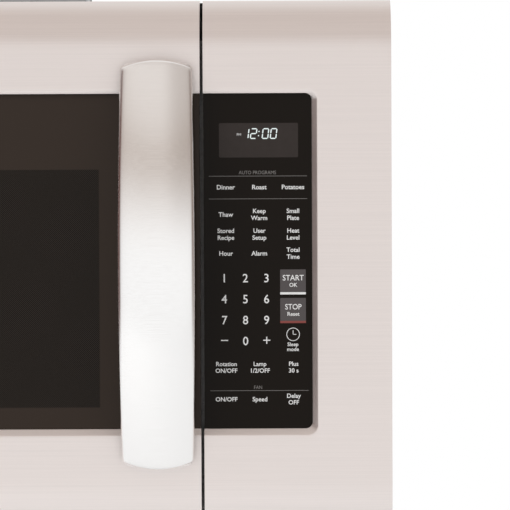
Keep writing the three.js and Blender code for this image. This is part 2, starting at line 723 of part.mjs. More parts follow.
function hingeBracket(plateZ, down) {
  const plate = alongZ([
    ...arc(pinX, pinY, HINGE_NOSE, HINGE_NOSE, 180, 360, 10),
    [pinX + HINGE_NOSE, flangeY + HINGE_PLATE], [pinX - HINGE_NOSE, flangeY + HINGE_PLATE],
  ], plateZ, plateZ + HINGE_PLATE);
  const flangeZ = down ? plateZ + HINGE_PLATE - HINGE_FLANGE_HEIGHT : plateZ;
  const flange = box(pinX - HINGE_NOSE, pinX - HINGE_NOSE + HINGE_FLANGE_WIDTH, flangeY,
    flangeY + HINGE_PLATE, flangeZ, flangeZ + HINGE_FLANGE_HEIGHT);
  const pinZ = down ? plateZ + HINGE_PLATE + SHEET - PIN_LENGTH : plateZ - SHEET;
  const pin = alongZ(circle(pinX, pinY, PIN_RADIUS, 16), pinZ, pinZ + PIN_LENGTH);
  return join(plate, flange, pin);
}

// ---- Oven ---------------------------------------------------------------------------------------------------

const guideZ0 = floorZ + GUIDE_BOTTOM;
const guideY0 = -GUIDE_FROM_WALL - GUIDE_WIDTH / 2;
const portY0 = -GUIDE_FROM_WALL - PORT_WIDTH / 2;
const portZ0 = guideZ0 + 6;
const magnetronZ = guideZ0 + GUIDE_HEIGHT - MAGNETRON_SIZE / 2 - SHEET;
const serviceTopZ = grilleFootZ() - SERVICE_END;

function grilleFootZ() {
  return topZ - GRILLE_HEIGHT;
}

// Outline of the cavity, which the front frame opens on to.
const mouthOutline = (grow) => roundedRect(mouth.x0 - grow, mouth.x1 + grow, mouth.z0 - grow,
  mouth.z1 + grow, CAVITY_CORNER + grow, 3);

// A drawn box, welded behind the front frame.
function ovenCavity() {
  const shellOuter = alongY(mouthOutline(SHEET), flangeY, cavityBackY + SHEET);
  const hollow = alongY(mouthOutline(0), flangeY - SHEET, cavityBackY);
  const shaftHole = alongZ(circle(tableX, tableY, SHAFT_RADIUS + 3, 16), floorZ - 2 * SHEET,
    floorZ + SHEET);
  const port = box(mouth.x1 - SHEET, mouth.x1 + 2 * SHEET, portY0, portY0 + PORT_WIDTH, portZ0,
    portZ0 + PORT_HEIGHT);
  const lampHoles = Array.from({ length: 8 }, (_, i) => alongX(
    circle(lampY + LAMP_HOLE_PITCH * ((i % 4) - 1.5), lampZ + LAMP_HOLE_PITCH * (Math.floor(i / 4) - 0.5),
      LAMP_HOLE, 6),
    mouth.x1 - SHEET, mouth.x1 + 2 * SHEET));
  const sensorHole = alongZ(circle(sensorX, sensorY, SENSOR_RADIUS - SHEET, 12),
    ceilingZ - SHEET, ceilingZ + 2 * SHEET);
  return cut(shellOuter, hollow, shaftHole, port, sensorHole, ...lampHoles);
}

// One plate round the oven mouth and behind the control panel.
function frontFrame() {
  const plate = box(-insideX, insideX, cabinetY, cabinetY + SHEET, baseTopZ,
    grilleFootZ() - CLEARANCE);
  const hingeSlots = [hingeTopZ, hingeBottomZ].map((z) => box(pinX - HINGE_NOSE - CLEARANCE,
    pinX + HINGE_NOSE + CLEARANCE, cabinetY - SHEET, cabinetY + 2 * SHEET, z - CLEARANCE,
    z + HINGE_PLATE + CLEARANCE));
  const hookSlots = hookZ.map((z) => box(latchX - LATCH_THICKNESS / 2 - LATCH_SIDE_ROOM,
    latchX + LATCH_THICKNESS / 2 + LATCH_SIDE_ROOM, cabinetY - SHEET, cabinetY + 2 * SHEET,
    z - HOOK_HEIGHT / 2 - HOOK_TIP - 1, z + HOOK_HEIGHT / 2 + LATCH_TRAVEL + 1));
  const serviceOpening = alongY(roundedRect(bezelLeft + SERVICE_EDGE, insideX - SERVICE_EDGE - 2,
    -serviceTopZ, serviceTopZ, 8, 3), cabinetY - SHEET, cabinetY + 2 * SHEET);
  return cut(plate, alongY(mouthOutline(0), cabinetY - SHEET, cabinetY + 2 * SHEET), serviceOpening,
    ...hingeSlots, ...hookSlots);
}

const lampY = cabinetY + LAMP_BOX_FROM_FRONT;
const lampZ = ceilingZ - LAMP_BOX_FROM_CEILING;
const sensorX = cavityLeft + SENSOR_FROM_LEFT;
const sensorY = -SENSOR_FROM_WALL;

function cavityLamp() {
  const x0 = cavityRight + SHEET + CLEARANCE;
  const y = LAMP_BOX_DEPTH / 2;
  const z = LAMP_BOX_HEIGHT / 2;
  const wall = 2 * SHEET;
  const shade = cut(
    box(x0, x0 + LAMP_BOX_REACH, lampY - y, lampY + y, lampZ - z, lampZ + z),
    box(x0 - SHEET, x0 + LAMP_BOX_REACH - wall, lampY - y + wall, lampY + y - wall, lampZ - z + wall,
      lampZ + z - wall),
  );
  const bulb = alongX(circle(lampY, lampZ, z / 2, 12), x0 + z / 2, x0 + LAMP_BOX_REACH - SHEET);
  return join(shade, bulb);
}

function micaCover() {
  return alongX(roundedRect(portY0 - 8, portY0 + PORT_WIDTH + 8, portZ0 - 8,
    portZ0 + PORT_HEIGHT + 8, 6, 3), cavityRight - CLEARANCE - MICA_THICKNESS,
  cavityRight - CLEARANCE);
}

function waveguide() {
  const x0 = cavityRight + SHEET + CLEARANCE;
  const y1 = guideY0 + GUIDE_WIDTH;
  const z1 = guideZ0 + GUIDE_HEIGHT;
  return cut(
    box(x0, x0 + GUIDE_DEPTH, guideY0, y1, guideZ0, z1),
    box(x0 - SHEET, x0 + GUIDE_DEPTH - SHEET, guideY0 + SHEET, y1 - SHEET, guideZ0 + SHEET,
      z1 - SHEET),
    alongX(circle(-GUIDE_FROM_WALL, magnetronZ, ANTENNA_RADIUS + 2, 16), x0, x0 + GUIDE_DEPTH + SHEET),
  );
}

// Anode with its fins in a yoke, the antenna towards the waveguide and the filter box behind.
function magnetron() {
  const half = MAGNETRON_SIZE / 2;
  const yoke = cut(
    box(0, MAGNETRON_LENGTH, -half, half, -half, half),
    box(YOKE, MAGNETRON_LENGTH - YOKE, -half - 1, half + 1, -half + YOKE, half - YOKE),
  );
  const anode = alongX(circle(0, 0, ANODE_RADIUS, 12), YOKE / 2, MAGNETRON_LENGTH - YOKE / 2);
  const pitch = (MAGNETRON_LENGTH - 2 * YOKE) / (MAGNETRON_FINS + 1);
  const finHalf = half - YOKE / 2;
  const fins = Array.from({ length: MAGNETRON_FINS }, (_, i) => {
    const x = YOKE + pitch * (i + 1) - FIN_THICKNESS / 2;
    return box(x, x + FIN_THICKNESS, -finHalf, finHalf, -finHalf, finHalf);
  });
  const antenna = revolve([[0, -ANTENNA_REACH], [ANTENNA_RADIUS - 3, -ANTENNA_REACH],
    [ANTENNA_RADIUS, -ANTENNA_REACH + 4], [ANTENNA_RADIUS, 1], [0, 1]], 'x', 16);
  const boxHalf = FILTER_BOX / 2;
  const filterBox = box(MAGNETRON_LENGTH - 1, MAGNETRON_LENGTH + FILTER_BOX_LENGTH, -boxHalf, boxHalf,
    -boxHalf, boxHalf);
  return join(yoke, anode, antenna, filterBox, ...fins);
}

// ---- Turntable, about the middle of the cavity floor ---------------------------------------------------------

const trayUnderZ = 2 * CLEARANCE + 2 * ROLLER_RADIUS;

function turntableMotor() {
  const topOfMotor = -SHEET - CLEARANCE;
  const can = alongZ(circle(0, 0, MOTOR_RADIUS, 32), topOfMotor - MOTOR_HEIGHT, topOfMotor);
  const ears = box(-MOTOR_RADIUS - 9, MOTOR_RADIUS + 9, -6, 6, topOfMotor - 1.5, topOfMotor);
  const bore = alongZ(circle(0, 0, SHAFT_RADIUS + CLEARANCE, 16),
    -SHAFT_REACH - CLEARANCE, topOfMotor + 1);
  return cut(join(can, ears), bore);
}

// The shaft has one flat, so that it drives the coupler.
function turntableShaft() {
  const round = alongZ(circle(0, 0, SHAFT_RADIUS, 16), -SHAFT_REACH, SHAFT_REACH);
  return cut(round, box(SHAFT_RADIUS * 0.6, SHAFT_RADIUS * 2, -SHAFT_RADIUS, SHAFT_RADIUS, 0,
    SHAFT_REACH + 1));
}

function turntableCoupler() {
  const hub = alongZ(circle(0, 0, COUPLER_RADIUS, 24), CLEARANCE, COUPLER_HEIGHT);
  const wing = box(COUPLER_RADIUS - 4, COUPLER_WING, -COUPLER_WING_WIDTH / 2,
    COUPLER_WING_WIDTH / 2, COUPLER_HEIGHT / 2, COUPLER_HEIGHT);
  const wings = [0, 120, 240].map((angle) => wing.rotate([0, 0, angle]));
  const bore = cut(
    alongZ(circle(0, 0, SHAFT_RADIUS + CLEARANCE, 16), -1, SHAFT_REACH + CLEARANCE),
    box(SHAFT_RADIUS * 0.6 + CLEARANCE, SHAFT_RADIUS * 2, -SHAFT_RADIUS * 2, SHAFT_RADIUS * 2,
      CLEARANCE, SHAFT_REACH + 1),
  );
  return cut(join(hub, ...wings), bore);
}

function glassTray() {
  const z = trayUnderZ;
  const dish = revolve([
    [0, z], [TRAY_FLAT, z], [TRAY_RADIUS - 3, z + TRAY_RISE - 5], [TRAY_RADIUS, z + TRAY_RISE - 1],
    [TRAY_RADIUS - 1.5, z + TRAY_RISE], [TRAY_RADIUS - 5, z + TRAY_RISE - 1.5],
    [TRAY_FLAT - 2, z + TRAY_THICKNESS], [0, z + TRAY_THICKNESS],
  ], 'z', 32);
  const side = COUPLER_WING_WIDTH / 2 + CLEARANCE;
  const lug = box(COUPLER_RADIUS + 4, COUPLER_WING - 2, side, side + 6, COUPLER_HEIGHT / 2 + 1, z + 1);
  return join(dish, ...[0, 120, 240].map((angle) => lug.rotate([0, 0, angle])));
}

const axleZ = CLEARANCE + ROLLER_RADIUS;
const rollerInner = ROLLER_TRACK - ROLLER_WIDTH / 2;

function rollerRing() {
  const z0 = axleZ - RING_HEIGHT / 2;
  const band = revolve([[RING_OUTER - RING_WIDTH, z0], [RING_OUTER, z0],
    [RING_OUTER, z0 + RING_HEIGHT], [RING_OUTER - RING_WIDTH, z0 + RING_HEIGHT],
    [RING_OUTER - RING_WIDTH, z0]], 'z', 30);
  const end = rollerInner + ROLLER_WIDTH + CLEARANCE;
  const axle = join(
    alongX(circle(0, axleZ, AXLE_RADIUS, 8), RING_OUTER - 2, end + 2),
    alongX(circle(0, axleZ, AXLE_RADIUS + 1.2, 8), end, end + 2),
    alongX(circle(0, axleZ, AXLE_RADIUS + 1.2, 8), RING_OUTER - 2, rollerInner - CLEARANCE),
  );
  const axles = Array.from({ length: ROLLER_COUNT },
    (_, i) => axle.rotate([0, 0, (360 * i) / ROLLER_COUNT]));
  return join(band, ...axles);
}

// A wheel with a crowned tread, about its own axle.
function roller() {
  const half = ROLLER_WIDTH / 2;
  return revolve([[ROLLER_BORE, -half], [ROLLER_RADIUS - 0.8, -half], [ROLLER_RADIUS, -half + 1.5],
    [ROLLER_RADIUS, half - 1.5], [ROLLER_RADIUS - 0.8, half], [ROLLER_BORE, half],
    [ROLLER_BORE, -half]], 'x', 16);
}

// ---- Vent blower: squirrel cage wheels on one shaft in scroll housings, about the shaft ------------------------

const wheelX0 = BLOWER_MOTOR_LENGTH / 2 + SHEET + CLEARANCE + SCROLL_GAP + SHEET;
const wheelX1 = wheelX0 + WHEEL_WIDTH;
const scrollX0 = BLOWER_MOTOR_LENGTH / 2 + CLEARANCE;
const scrollX1 = wheelX1 + SCROLL_GAP + SHEET;
const scrollRadius = (angle) =>
  SCROLL_START + (SCROLL_GROWTH * (angle - SCROLL_FROM)) / (SCROLL_TO - SCROLL_FROM);
const blowerZ = cavityTopZ + scrollRadius(270) + SHEET;
const outletTop = roofZ - blowerZ;

// A spiral from the cut-off round to the outlet, which goes straight up. Drawn in (y, z).
function scrollOutline(grow, top) {
  const spiral = Array.from({ length: 17 }, (_, i) => {
    const angle = THREE.MathUtils.lerp(SCROLL_FROM, SCROLL_TO, i / 16);
    return arc(0, 0, scrollRadius(angle) + grow, scrollRadius(angle) + grow, angle, angle, 1)[0];
  });
  const cutOff = spiral[0][0] - 2 * grow;
  return [[cutOff, spiral[0][1] + 2], ...spiral.slice(1), [spiral.at(-1)[0], top], [cutOff, top]];
}

function scrollHousing() {
  const shell = cut(
    alongX(scrollOutline(SHEET, outletTop), scrollX0, scrollX1),
    alongX(scrollOutline(0, outletTop + SHEET), scrollX0 + SHEET, scrollX1 - SHEET),
  );
  const foot = box(scrollX0, scrollX1, -22, 22, cavityTopZ - blowerZ, cavityTopZ - blowerZ + 2 * SHEET);
  const hollow = alongX(circle(0, 0, SCROLL_START, 30), scrollX0 + SHEET, scrollX1 - SHEET);
  return cut(join(shell, cut(foot, hollow)),
    alongX(circle(0, 0, INLET_RADIUS, 30), scrollX1 - 2 * SHEET, scrollX1 + SHEET),
    alongX(circle(0, 0, 3 * BLOWER_SHAFT, 20), scrollX0 - SHEET, scrollX0 + 2 * SHEET));
}

// One forward curved blade, drawn in (y, z): its lean grows towards the rim.
function bladeOutline(angle) {
  const line = [0, 0.5, 1].map((s) => [
    THREE.MathUtils.lerp(WHEEL_INNER, WHEEL_RADIUS, s), angle + 9 * s * s,
  ]);
  const side = (sign) => line.map(([radius, degrees]) => {
    const turn = THREE.MathUtils.degToRad(degrees);
    const half = (sign * BLADE_THICKNESS) / 2;
    return [radius * Math.cos(turn) - half * Math.sin(turn),
      radius * Math.sin(turn) + half * Math.cos(turn)];
  });
  return [...side(1), ...side(-1).reverse()];
}

function blowerWheel() {
  const blades = Array.from({ length: WHEEL_BLADES }, (_, i) =>
    alongX(bladeOutline((360 * i) / WHEEL_BLADES), wheelX0 + SHEET / 2, wheelX1 - SHEET));
  const disc = alongX(circle(0, 0, WHEEL_RADIUS, 24), wheelX0, wheelX0 + SHEET);
  const rim = cut(alongX(circle(0, 0, WHEEL_RADIUS + 0.6, 24), wheelX1 - 3 * SHEET, wheelX1),
    alongX(circle(0, 0, WHEEL_INNER + 1, 24), wheelX1 - 4 * SHEET, wheelX1 + SHEET));
  const hub = alongX(circle(0, 0, 2.2 * BLOWER_SHAFT, 20), wheelX0, wheelX0 + 14);
  const bore = alongX(circle(0, 0, BLOWER_SHAFT + CLEARANCE, 16), wheelX0 - SHEET, wheelX1);
  return cut(join(disc, rim, hub, ...blades), bore);
}

function blowerShaft() {
  return alongX(circle(0, 0, BLOWER_SHAFT, 16), -wheelX0 - 18, wheelX0 + 18);
}

function blowerMotor() {
  const half = BLOWER_MOTOR_LENGTH / 2;
  const bore = BLOWER_SHAFT + CLEARANCE;
  return revolve([[bore, -half], [BLOWER_MOTOR_RADIUS * 0.5, -half],
    [BLOWER_MOTOR_RADIUS, -half + 10], [BLOWER_MOTOR_RADIUS, half - 10],
    [BLOWER_MOTOR_RADIUS * 0.5, half], [bore, half], [bore, -half]], 'x', 20);
}

// ---- Exhaust adaptor and its flap, about the middle of the duct on the top of the case ----------------------------

const flapZ = CLEARANCE + SHEET + FLAP_HEIGHT;
const flapPinY = DUCT_DEPTH / 2 - SHEET - 2 * FLAP_PIN;

function exhaustAdaptor() {
  const x = DUCT_WIDTH / 2;
  const y = DUCT_DEPTH / 2;
  const z1 = CLEARANCE + SHEET + DUCT_RISE;
  const flange = alongZ(roundedRect(-x - DUCT_FLANGE, x + DUCT_FLANGE, -y - DUCT_FLANGE,
    y + DUCT_FLANGE, 6, 3), CLEARANCE, CLEARANCE + SHEET);
  const collar = box(-x, x, -y, y, CLEARANCE, z1);
  const bore = box(-x + SHEET, x - SHEET, -y + SHEET, y - SHEET, 0, z1 + SHEET);
  const pinHole = alongX(circle(flapPinY, flapZ, FLAP_PIN + CLEARANCE, 16), -x - SHEET, x + SHEET);
  const stop = box(-x + SHEET, x - SHEET, -y + SHEET / 2, -y + SHEET + 3,
    flapZ - SHEET / 2 - CLEARANCE - SHEET, flapZ - SHEET / 2 - CLEARANCE);
  return join(cut(join(flange, collar), bore, pinHole), stop);
}

function damperFlap() {
  const x = DUCT_WIDTH / 2 - SHEET - CLEARANCE * 2;
  const plate = box(-x, x, -DUCT_DEPTH / 2 + SHEET + CLEARANCE * 2, flapPinY, flapZ - SHEET / 2,
    flapZ + SHEET / 2);
  const pin = alongX(circle(flapPinY, flapZ, FLAP_PIN, 16), -DUCT_WIDTH / 2 - SHEET,
    DUCT_WIDTH / 2 + SHEET);
  return join(plate, pin);
}

// ---- Case ----------------------------------------------------------------------------------------------------------

const caseTopFrontY = cabinetY + GRILLE_DEPTH + CLEARANCE;
const bushX = halfWidth - BUSH_FROM_SIDE;
const bushY = -BUSH_FROM_WALL;

function caseWrap() {
  const outer = box(-halfWidth, halfWidth, cabinetY, rearPanelY, bottomZ, topZ);
  const inner = box(-halfWidth + SHEET, halfWidth - SHEET, cabinetY - SHEET, rearPanelY + SHEET,
    bottomZ - SHEET, topZ - SHEET);
  const grilleOpening = box(-halfWidth + SHEET, halfWidth - SHEET, cabinetY - SHEET, caseTopFrontY,
    topZ - 2 * SHEET, topZ + SHEET);
  const ductOpening = box(-DUCT_WIDTH / 2 + SHEET, DUCT_WIDTH / 2 - SHEET,
    -DUCT_FROM_WALL - DUCT_DEPTH / 2 + SHEET, -DUCT_FROM_WALL + DUCT_DEPTH / 2 - SHEET,
    topZ - 2 * SHEET, topZ + SHEET);
  const cordHole = alongZ(circle(bushX, bushY, BUSH_RADIUS, 20), topZ - 2 * SHEET, topZ + SHEET);
  const sideSlots = Array.from({ length: SIDE_SLOTS }, (_, i) => {
    const y = -SIDE_SLOT_FROM_WALL + SIDE_SLOT_PITCH * i;
    return alongX(roundedRect(y, y + SIDE_SLOT_WIDTH, SIDE_SLOT_BOTTOM, SIDE_SLOT_TOP, SIDE_SLOT_WIDTH / 2,
      2), halfWidth - 2 * SHEET, halfWidth + SHEET);
  });
  const bolts = [-BOLT_PAD_FROM_MIDDLE, BOLT_PAD_FROM_MIDDLE];
  const pads = bolts.map((x) => alongZ(roundedRect(x - BOLT_PAD_WIDTH / 2, x + BOLT_PAD_WIDTH / 2,
    -BOLT_PAD_FROM_WALL - BOLT_PAD_DEPTH / 2, -BOLT_PAD_FROM_WALL + BOLT_PAD_DEPTH / 2, 5, 3),
  topZ - SHEET / 2, topZ + BOLT_PAD_RISE));
  const boltHoles = bolts.map((x) => alongZ(circle(x, -BOLT_PAD_FROM_WALL, BOLT_HOLE, 16),
    topZ - 2 * SHEET, topZ + BOLT_PAD_RISE + SHEET));
  return cut(join(cut(outer, inner, grilleOpening, ductOpening, cordHole, ...sideSlots), ...pads),
    ...boltHoles);
}

function cordBushing() {
  const shank = BUSH_RADIUS - CLEARANCE;
  const z = topZ + CLEARANCE;
  const throat = BUSH_RADIUS - 5;
  return revolve([[throat, roofZ - 8], [shank, roofZ - 8], [shank, z], [shank + 3.5, z],
    [shank + 3.5, z + 2.5], [throat + 1, z + 4], [throat, z + 4], [throat, roofZ - 8]], 'z', 12);
}

const wallHookX = [-WALL_HOOK_FROM_MIDDLE, WALL_HOOK_FROM_MIDDLE];
const wallHookTopZ = WALL_HOOK_Z + WALL_HOOK_THICKNESS;

function backPanel() {
  const sheet = box(-insideX, insideX, rearPanelY - SHEET, rearPanelY, baseTopZ, roofZ);
  const slots = wallHookX.map((x) => box(x - WALL_HOOK_WIDTH / 2 - 1, x + WALL_HOOK_WIDTH / 2 + 1,
    rearPanelY - 2 * SHEET, rearPanelY + SHEET, WALL_HOOK_Z - WALL_HOOK_LIP, wallHookTopZ + CLEARANCE));
  return cut(sheet, ...slots);
}

function wallPlate() {
  const half = halfWidth - WALL_PLATE_INSET;
  const plate = alongY(roundedRect(-half, half, WALL_PLATE_BOTTOM, WALL_PLATE_TOP, 8, 3),
    -WALL_PLATE, 0);
  const windows = [-1, 1].map((side) => {
    const ends = [side * WALL_WINDOW_FROM_MIDDLE, side * (half - WALL_WINDOW_SIDE)];
    return alongY(roundedRect(Math.min(...ends), Math.max(...ends),
      WALL_PLATE_BOTTOM + WALL_WINDOW_BOTTOM, WALL_PLATE_TOP - WALL_WINDOW_TOP, 8, 3), -WALL_PLATE - 1, 1);
  });
  const reach = rearPanelY - SHEET - CLEARANCE * 12;
  const hooks = wallHookX.map((x) => join(
    box(x - WALL_HOOK_WIDTH / 2, x + WALL_HOOK_WIDTH / 2, reach - WALL_HOOK_THICKNESS / 2,
      -WALL_PLATE / 2, WALL_HOOK_Z, wallHookTopZ),
    box(x - WALL_HOOK_WIDTH / 2, x + WALL_HOOK_WIDTH / 2, reach - WALL_HOOK_THICKNESS / 2, reach,
      WALL_HOOK_Z, wallHookTopZ + WALL_HOOK_LIP),
  ));
  return join(cut(plate, ...windows), ...hooks);
}

// Filters and lamp lenses lie on the lips of their openings.
function basePlate() {
  const flangeFrontY = cabinetY + SHEET + CLEARANCE;
  const sheet = box(-insideX, insideX, cabinetY, rearInsideY, bottomZ, bottomZ + SHEET);
  const sideFlanges = [-1, 1].map((side) => box(
    Math.min(side * insideX, side * (insideX - SHEET)), Math.max(side * insideX, side * (insideX - SHEET)),
    flangeFrontY, rearInsideY, bottomZ, bottomZ + PANEL_FLANGE));
  const rearFlange = box(-insideX, insideX, rearInsideY - SHEET, rearInsideY, bottomZ, bottomZ + PANEL_FLANGE);
  const frontFlange = box(-insideX, insideX, flangeFrontY, flangeFrontY + SHEET, bottomZ, bottomZ + PANEL_FLANGE);
  const filterY0 = -FILTER_FROM_WALL - FILTER_DEPTH / 2;
  const filterY1 = filterY0 + FILTER_DEPTH;
  const openings = [-1, 1].map((side) => {
    const inner = side * (FILTER_INNER_EDGE + FILTER_TRAVEL - 1);
    const outer = side * (FILTER_INNER_EDGE + filterWidth - FILTER_LAP);
    return box(Math.min(inner, outer), Math.max(inner, outer), filterY0 + 5, filterY1 - 5,
      bottomZ - SHEET, bottomZ + 2 * SHEET);
  });
  const rails = [-1, 1].flatMap((side) => [filterY0 - CLEARANCE - SHEET, filterY1 + CLEARANCE].map(
    (y) => box(side * filterX - filterWidth / 3, side * filterX + filterWidth / 3,
      y, y + SHEET, bottomZ + SHEET / 2, bottomZ + SHEET + FILTER_HEIGHT)));
  const lampOpenings = [-1, 1].map((side) => alongZ(roundedRect(
    side * LAMP_FROM_MIDDLE - LENS_WIDTH / 2 + LENS_LAP, side * LAMP_FROM_MIDDLE + LENS_WIDTH / 2 - LENS_LAP,
    -LAMP_FROM_WALL - LENS_DEPTH / 2 + LENS_LAP, -LAMP_FROM_WALL + LENS_DEPTH / 2 - LENS_LAP, 4, 3),
  bottomZ - SHEET, bottomZ + 2 * SHEET));
  return join(cut(join(sheet, ...sideFlanges, rearFlange, frontFlange), ...openings, ...lampOpenings),
    ...rails);
}

// A banded pad of aluminium mesh, about its own middle, with a pull ring at the inner end.
function greaseFilter(side) {
  const x = filterWidth / 2;
  const y = FILTER_DEPTH / 2;
  const band = cut(alongZ(roundedRect(-x, x, -y, y, 5, 3), 0, FILTER_HEIGHT),
    box(-x + FILTER_BAND, x - FILTER_BAND, -y + FILTER_BAND, y - FILTER_BAND, -1, FILTER_HEIGHT + 1));
  const pad = box(-x + FILTER_BAND - 1, x - FILTER_BAND + 1, -y + FILTER_BAND - 1, y - FILTER_BAND + 1,
    1.5, FILTER_HEIGHT - 1.5);
  const tabX = -side * (x - FILTER_BAND - 16);
  const tab = cut(box(tabX - 9, tabX + 9, -12, 12, 0.4, 2), box(tabX - 5, tabX + 5, -8, 8, 0, 1.5));
  return join(band, pad, tab);
}

function lampLens() {
  return alongZ(roundedRect(-LENS_WIDTH / 2, LENS_WIDTH / 2, -LENS_DEPTH / 2, LENS_DEPTH / 2, 5, 3),
    0, LENS_THICKNESS);
}

// A reflector cup over the lens with its light board.
function cooktopLamp() {
  const x = LENS_WIDTH / 2 + CLEARANCE;
  const y = LENS_DEPTH / 2 + CLEARANCE;
  const cup = cut(box(-x - SHEET, x + SHEET, -y - SHEET, y + SHEET, 0, LAMP_HEIGHT),
    box(-x, x, -y, y, -SHEET, LAMP_HEIGHT - SHEET));
  const board = box(-x + 20, x - 20, -10, 10, LAMP_HEIGHT - 4, LAMP_HEIGHT - SHEET / 2);
  return join(cup, board);
}

// ---- Vent grille and charcoal filter ------------------------------------------------------------------------------

const grilleY1 = cabinetY + GRILLE_DEPTH;

function ventGrille() {
  const z0 = grilleFootZ();
  const topRearZ = roofZ;
  const topFrontZ = topRearZ - GRILLE_FALL;
  const side = [[cabinetY, z0], [grilleY1, z0], [grilleY1, topRearZ], [cabinetY, topFrontZ]];
  const ends = [-insideX, insideX - GRILLE_WALL].map((x) => alongX(side, x, x + GRILLE_WALL));
  const pitchX = (2 * insideX) / (GRILLE_RIBS + 1);
  const ribs = Array.from({ length: GRILLE_RIBS }, (_, i) => {
    const x = -insideX + pitchX * (i + 1);
    return alongX(side, x - GRILLE_WALL / 2, x + GRILLE_WALL / 2);
  });
  const barX = insideX - GRILLE_WALL / 2; // bars end inside the end plates
  const frontWall = box(-barX, barX, cabinetY + GRILLE_WALL / 4, cabinetY + GRILLE_WALL,
    z0 + GRILLE_WALL / 4, topFrontZ - GRILLE_WALL);
  const rearBar = box(-barX, barX, grilleY1 - GRILLE_WALL * 2, grilleY1 - GRILLE_WALL / 4,
    topRearZ - 4 * GRILLE_WALL, topRearZ - GRILLE_WALL);
  const slope = GRILLE_FALL / GRILLE_DEPTH;
  const slats = Array.from({ length: GRILLE_SLATS }, (_, i) => {
    const y = cabinetY + (GRILLE_DEPTH * (i + 0.5)) / (GRILLE_SLATS + 0.9);
    const z = topFrontZ + slope * (y - cabinetY) - 0.6;
    return alongX([[y, z], [y + GRILLE_WALL * 1.4, z], [y + 6.5, z - 8], [y + 6.5 - GRILLE_WALL, z - 8]],
      -barX, barX);
  });
  return join(frontWall, rearBar, ...ends, ...ribs, ...slats);
}

function charcoalFilter() {
  const y0 = grilleY1 + 2;
  const half = CHARCOAL_WIDTH / 2;
  const pad = box(-half, half, y0, y0 + CHARCOAL_THICKNESS, cavityTopZ, cavityTopZ + CHARCOAL_HEIGHT);
  const pockets = [0, 1, 2, 3].map((i) => {
    const x = -half + 8 + (i * (CHARCOAL_WIDTH - 8)) / 4;
    return box(x, x + (CHARCOAL_WIDTH - 8) / 4 - 8, y0 - 1, y0 + 2.5, cavityTopZ + 8,
      cavityTopZ + CHARCOAL_HEIGHT - 8);
  });
  return cut(pad, ...pockets);
}

// ---- Cooling fan and high voltage pieces ----------------------------------------------------------------------------

const fanBackY = rearInsideY;
const fanFrontY = fanBackY - FAN_DEPTH;
const fanBladeY = fanFrontY + 4;
const fanMotorY = fanBladeY + FAN_BLADE_DEPTH + 4;

// A square duct with a round mouth, and two arms across it that carry the motor.
function fanHousing() {
  const half = FAN_SIZE / 2;
  const duct = cut(
    box(fanX - half, fanX + half, fanFrontY, fanBackY, FAN_Z - half, FAN_Z + half),
    box(fanX - half + 2, fanX + half - 2, fanFrontY + 2, fanBackY + 1, FAN_Z - half + 2,
      FAN_Z + half - 2),
    alongY(circle(fanX, FAN_Z, FAN_RADIUS + 4, 36), fanFrontY - 1, fanFrontY + 3),
  );
  const armY = fanMotorY + FAN_MOTOR_LENGTH + CLEARANCE;
  const arms = [-1, 1].map((side) => box(fanX - half + 1, fanX + half - 1, armY, armY + 3,
    FAN_Z + side * 12 - 4, FAN_Z + side * 12 + 4));
  return join(duct, ...arms);
}

function fanMotor() {
  const can = alongY(circle(fanX, FAN_Z, FAN_MOTOR_RADIUS, 24), fanMotorY,
    fanMotorY + FAN_MOTOR_LENGTH);
  return cut(can, alongY(circle(fanX, FAN_Z, FAN_SHAFT + CLEARANCE, 12), fanMotorY - 1,
    fanMotorY + FAN_MOTOR_LENGTH / 2));
}

// Hub with twisted blades and its shaft, about the fan axis.
function fanBlade() {
  const hub = alongY(circle(0, 0, FAN_HUB, 24), 0, FAN_BLADE_DEPTH);
  const shaft = alongY(circle(0, 0, FAN_SHAFT, 12), FAN_BLADE_DEPTH - 1,
    fanMotorY - fanBladeY + FAN_MOTOR_LENGTH / 2 - CLEARANCE);
  const section = (radius, pitch, chord) => {
    const turn = THREE.MathUtils.degToRad(pitch);
    return [[-chord / 2, -0.7], [chord / 2, -0.7], [chord / 2, 0.7], [-chord / 2, 0.7]].map(
      ([u, v]) => new THREE.Vector3(u * Math.cos(turn) - v * Math.sin(turn),
        FAN_BLADE_DEPTH / 2 + u * Math.sin(turn) + v * Math.cos(turn), radius));
  };
  const blade = loft([section(FAN_HUB - 2, 38, 16), section(FAN_RADIUS * 0.6, 27, 25),
    section(FAN_RADIUS, 19, 30)]);
  const blades = Array.from({ length: FAN_BLADES }, (_, i) => blade.rotate([0, (360 * i) / FAN_BLADES, 0]));
  return join(hub, shaft, ...blades);
}

const transformerX = bezelLeft + TRANSFORMER_FROM_SPLIT;
const transformerY = cabinetY + TRANSFORMER_FROM_FRONT;

// Laminated core on its foot plate, with the two windings bulging out of it.
function transformer() {
  const w = TRANSFORMER_WIDTH / 2;
  const d = TRANSFORMER_DEPTH / 2;
  const core = box(-w, w, -d, d, 1, TRANSFORMER_HEIGHT);
  const gap = (TRANSFORMER_HEIGHT - 2 * WINDING_HEIGHT) / 3;
  const windings = [gap, 2 * gap + WINDING_HEIGHT].map((z) =>
    alongZ(roundedRect(-w * 2 / 3, w * 2 / 3, -d - WINDING_BULGE, d + WINDING_BULGE, WINDING_BULGE - 2, 4),
      z, z + WINDING_HEIGHT));
  const foot = box(-w - 10, w + 10, -d + 8, d - 8, 0, 2);
  return join(core, foot, ...windings);
}

const capacitorX = insideX - CAPACITOR_FROM_SIDE;
const capacitorY = -CAPACITOR_FROM_WALL;

